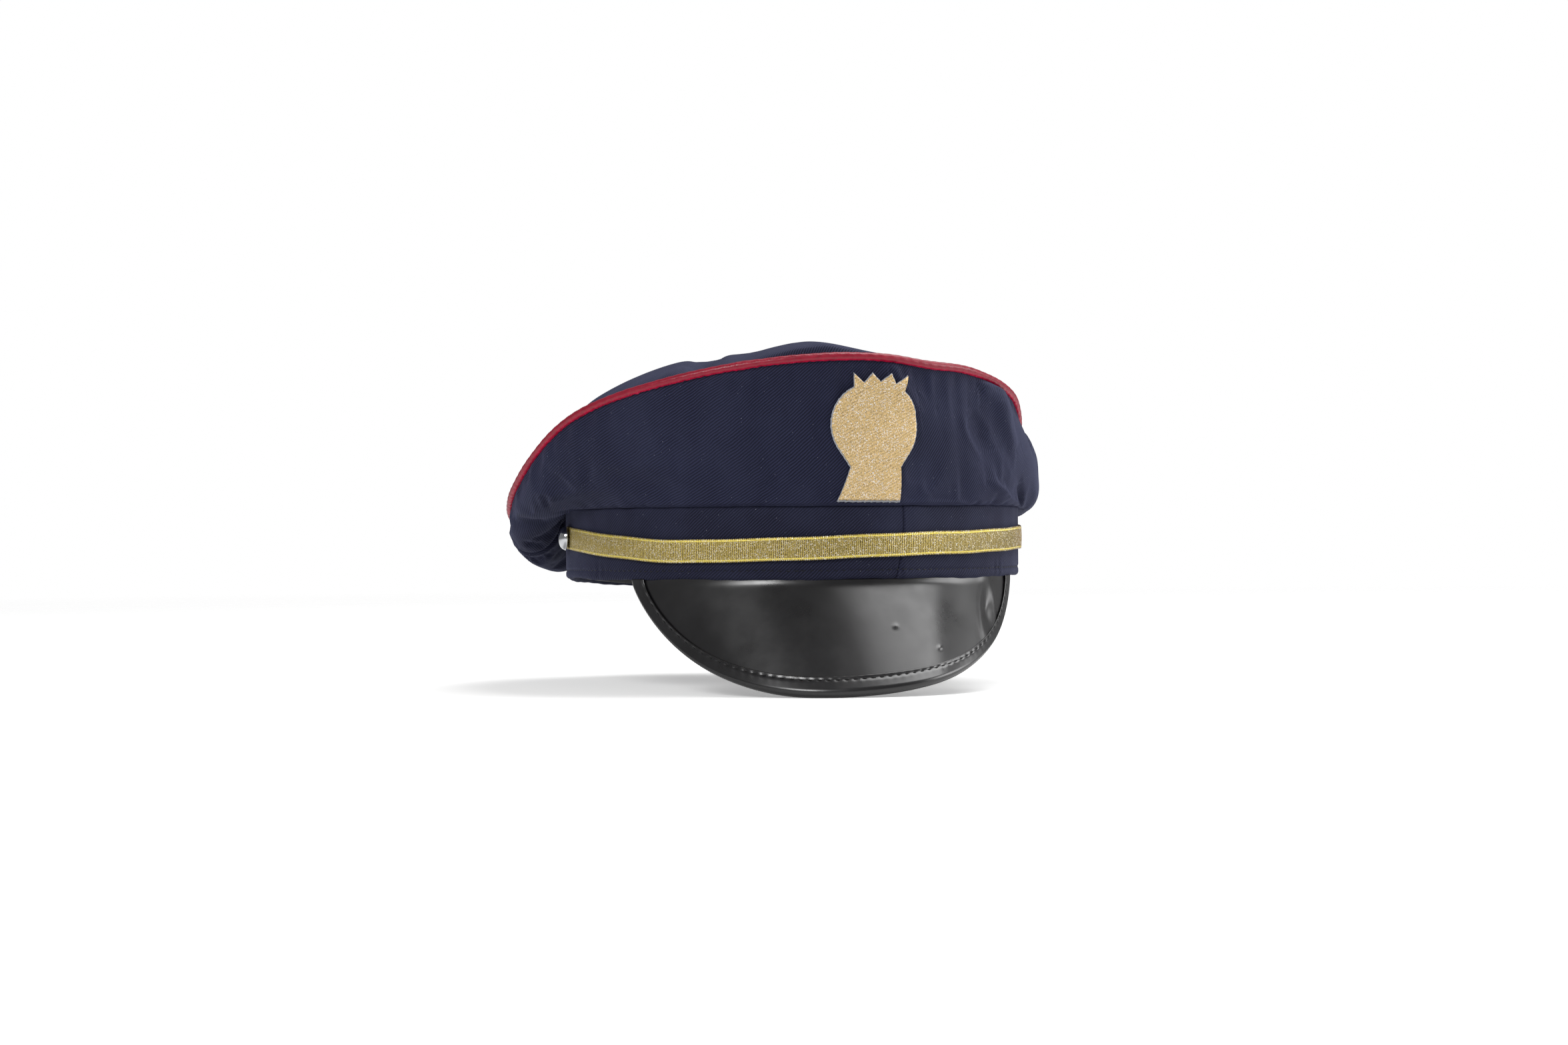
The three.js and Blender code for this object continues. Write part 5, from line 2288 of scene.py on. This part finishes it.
class Kit:
    """Every material of the cap."""

    def __init__(self, ribbon: ChinRibbon) -> None:
        """Make the materials; the ribbon's depends on its size.

        Args:
            ribbon: The ribbon.
        """
        self.front_twill = Twill("front_twill", angle=37).material()
        self.rear_twill = Twill("rear_twill", angle=40).material()
        self.top_twill = Twill("top_twill", angle=62).material()
        # The band's groove and ridge colours, painted shade and a painted highlight, are a little darker than
        # the crown's.
        self.band_twill = Twill("band_twill", angle=42, groove="0b0c1b", lit_ridge="24263f").material()
        self.navy_thread = Fibrous("navy_thread", "05060c", "10111e", 3000).material()
        self.black_thread = Fibrous("black_thread", "050506", "151516", 3000).material()
        self.vinyl = Vinyl("peak_vinyl").material()
        self.patent = Vinyl("peak_patent", "100f11", "232224", low_rough=0.24, high_rough=0.36).material()
        self.lining = Vinyl("lining_vinyl", "0d0d0f", "1b1b1d", low_rough=0.45, high_rough=0.6).material()
        self.board = Fibrous("fibre_board", "6b6459", "9c9385", 700).material()
        self.buckram = Fibrous("buckram", "a8a498", "e2ded2", 900, weave=1.2 * MM).material()
        self.satin = Satin("crimson_satin").material()
        self.cotton = Fibrous("cotton_cord", "b9b4a6", "ece8dc", 1500).material()
        self.lame = Lame("gilt_lame").material()
        self.felt = Fibrous("badge_felt", "6f7178", "b4b6bc", 2200).material()
        self.gilt = GiltRibbon("gilt_ribbon", width=ribbon.width, length=ribbon.length()).material()
        self.chrome = Polished("chrome").material()


# ---------------------------------------------------------------- studio


@dataclass(frozen=True)
class Studio:
    """A pale floor, soft light and the camera."""

    lens: float = 84
    distance: float = 1.5
    azimuth: float = -13
    eye_height: float = 22 * MM
    aside: float = -2.9 * MM
    roll: float = 0.45
    floor_radius: float = 2.6
    clearance: float = 0.2 * MM
    ambient: float = 0.24
    lamps: tuple[tuple[str, tuple[float, float, float], float, float], ...] = (
        ("key", (-1.2, -1.4, 1.1), 0.7, 24),
        ("side", (1.9, -0.3, 0.6), 1.1, 20),
        ("top", (0.9, 0.2, 2.0), 1.6, 40),
    )

    def camera(self) -> None:
        """Stand the camera level, a little to the wearer's right of the peak."""
        turn = math.radians(self.azimuth)
        ahead = Vector((-math.sin(turn), math.cos(turn), 0))
        across = Vector((math.cos(turn), math.sin(turn), 0))
        data = bpy.data.cameras.new("camera")
        data.lens = self.lens
        data.sensor_width = 36
        data.clip_end = 50
        eye = bpy.data.objects.new("camera", data)
        eye.location = across * self.aside - ahead * self.distance + Vector((0, 0, self.eye_height))
        level = ahead.to_track_quat("-Z", "Y").to_matrix()
        eye.rotation_euler = (level @ Matrix.Rotation(math.radians(-self.roll), 3, "Z")).to_euler()
        bpy.context.scene.collection.objects.link(eye)
        bpy.context.scene.camera = eye

    def floor(self) -> None:
        """Lay a round floor just under the peak, fading into the white around it."""
        low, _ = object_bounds()
        bpy.ops.object.select_all(action="DESELECT")
        bpy.ops.mesh.primitive_circle_add(
            vertices=96, radius=self.floor_radius, fill_type="NGON", location=(0, 0, low.z - self.clearance)
        )
        floor = bpy.context.object
        floor.name = "floor"
        material = bpy.data.materials.new("floor")
        material.use_nodes = True
        bench = Bench(material.node_tree)
        shader = material.node_tree.nodes["Principled BSDF"]
        shader.inputs["Roughness"].default_value = 0.9
        shader.inputs["Specular IOR Level"].default_value = 0.1
        place = bench.node("TexCoord").outputs["Object"]
        tone = bench.mix(bench.noise(place, 3, 3), paint("f3f3f2"), paint("f6f6f6"))
        bench.put(shader.inputs["Base Color"], tone)
        away = bench.node("VectorMath", {0: place}, operation="LENGTH").outputs["Value"]
        fade = bench.spread(away, 0.25, self.floor_radius * 0.8, 1, 0)
        bench.put(shader.inputs["Alpha"], fade)
        seen = bench.node("LightPath").outputs["Is Camera Ray"]
        bench.put(shader.inputs["Emission Strength"], bench.sum("MULTIPLY", seen, 0.34))
        shader.inputs["Emission Color"].default_value = (1, 1, 1, 1)
        floor.data.materials.append(material)
        floor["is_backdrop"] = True

    def light(self, name: str, place: tuple[float, float, float], size: float, power: float) -> None:
        """Hang one soft square light that points at the cap.

        Args:
            name: Its name.
            place: Where it hangs.
            size: Length of its side.
            power: Its power in watts.
        """
        data = bpy.data.lights.new(name, "AREA")
        data.shape = "SQUARE"
        data.size = size
        data.energy = power
        lamp = bpy.data.objects.new(name, data)
        lamp.location = place
        target = Vector((0, 0, 0.03))
        lamp.rotation_euler = (target - Vector(place)).to_track_quat("-Z", "Y").to_euler()
        bpy.context.scene.collection.objects.link(lamp)

    def surroundings(self) -> None:
        """Fill in from all round with plain white."""
        world = bpy.data.worlds.new("white")
        world.use_nodes = True
        bench = Bench(world.node_tree)
        background = world.node_tree.nodes["Background"]
        background.inputs["Color"].default_value = (1, 1, 1, 1)
        seen = bench.node("LightPath").outputs["Is Camera Ray"]
        bench.put(background.inputs["Strength"], bench.spread(seen, 0, 1, self.ambient, 1.0))
        bpy.context.scene.world = world
        bpy.context.scene.view_settings.view_transform = "Standard"

    def build(self) -> None:
        """Set up the whole studio."""
        self.camera()
        self.floor()
        self.surroundings()
        for lamp in self.lamps:
            self.light(*lamp)


def main() -> None:
    """Build the cap's pieces in order; each fitted piece is logged with its face count."""
    logging.basicConfig(level=logging.INFO, format="%(name)s: %(message)s")
    Groups.build()
    form = HeadForm.from_frame()
    ribbon = ChinRibbon(form)
    kit = Kit(ribbon)
    Studio().build()
    crown = Crown(form)
    for part in (Band(form), crown, Piping(form), Badge(crown), Peak(form), ribbon, Buttons()):
        part.build(kit)


if __name__ == "__main__":
    main()
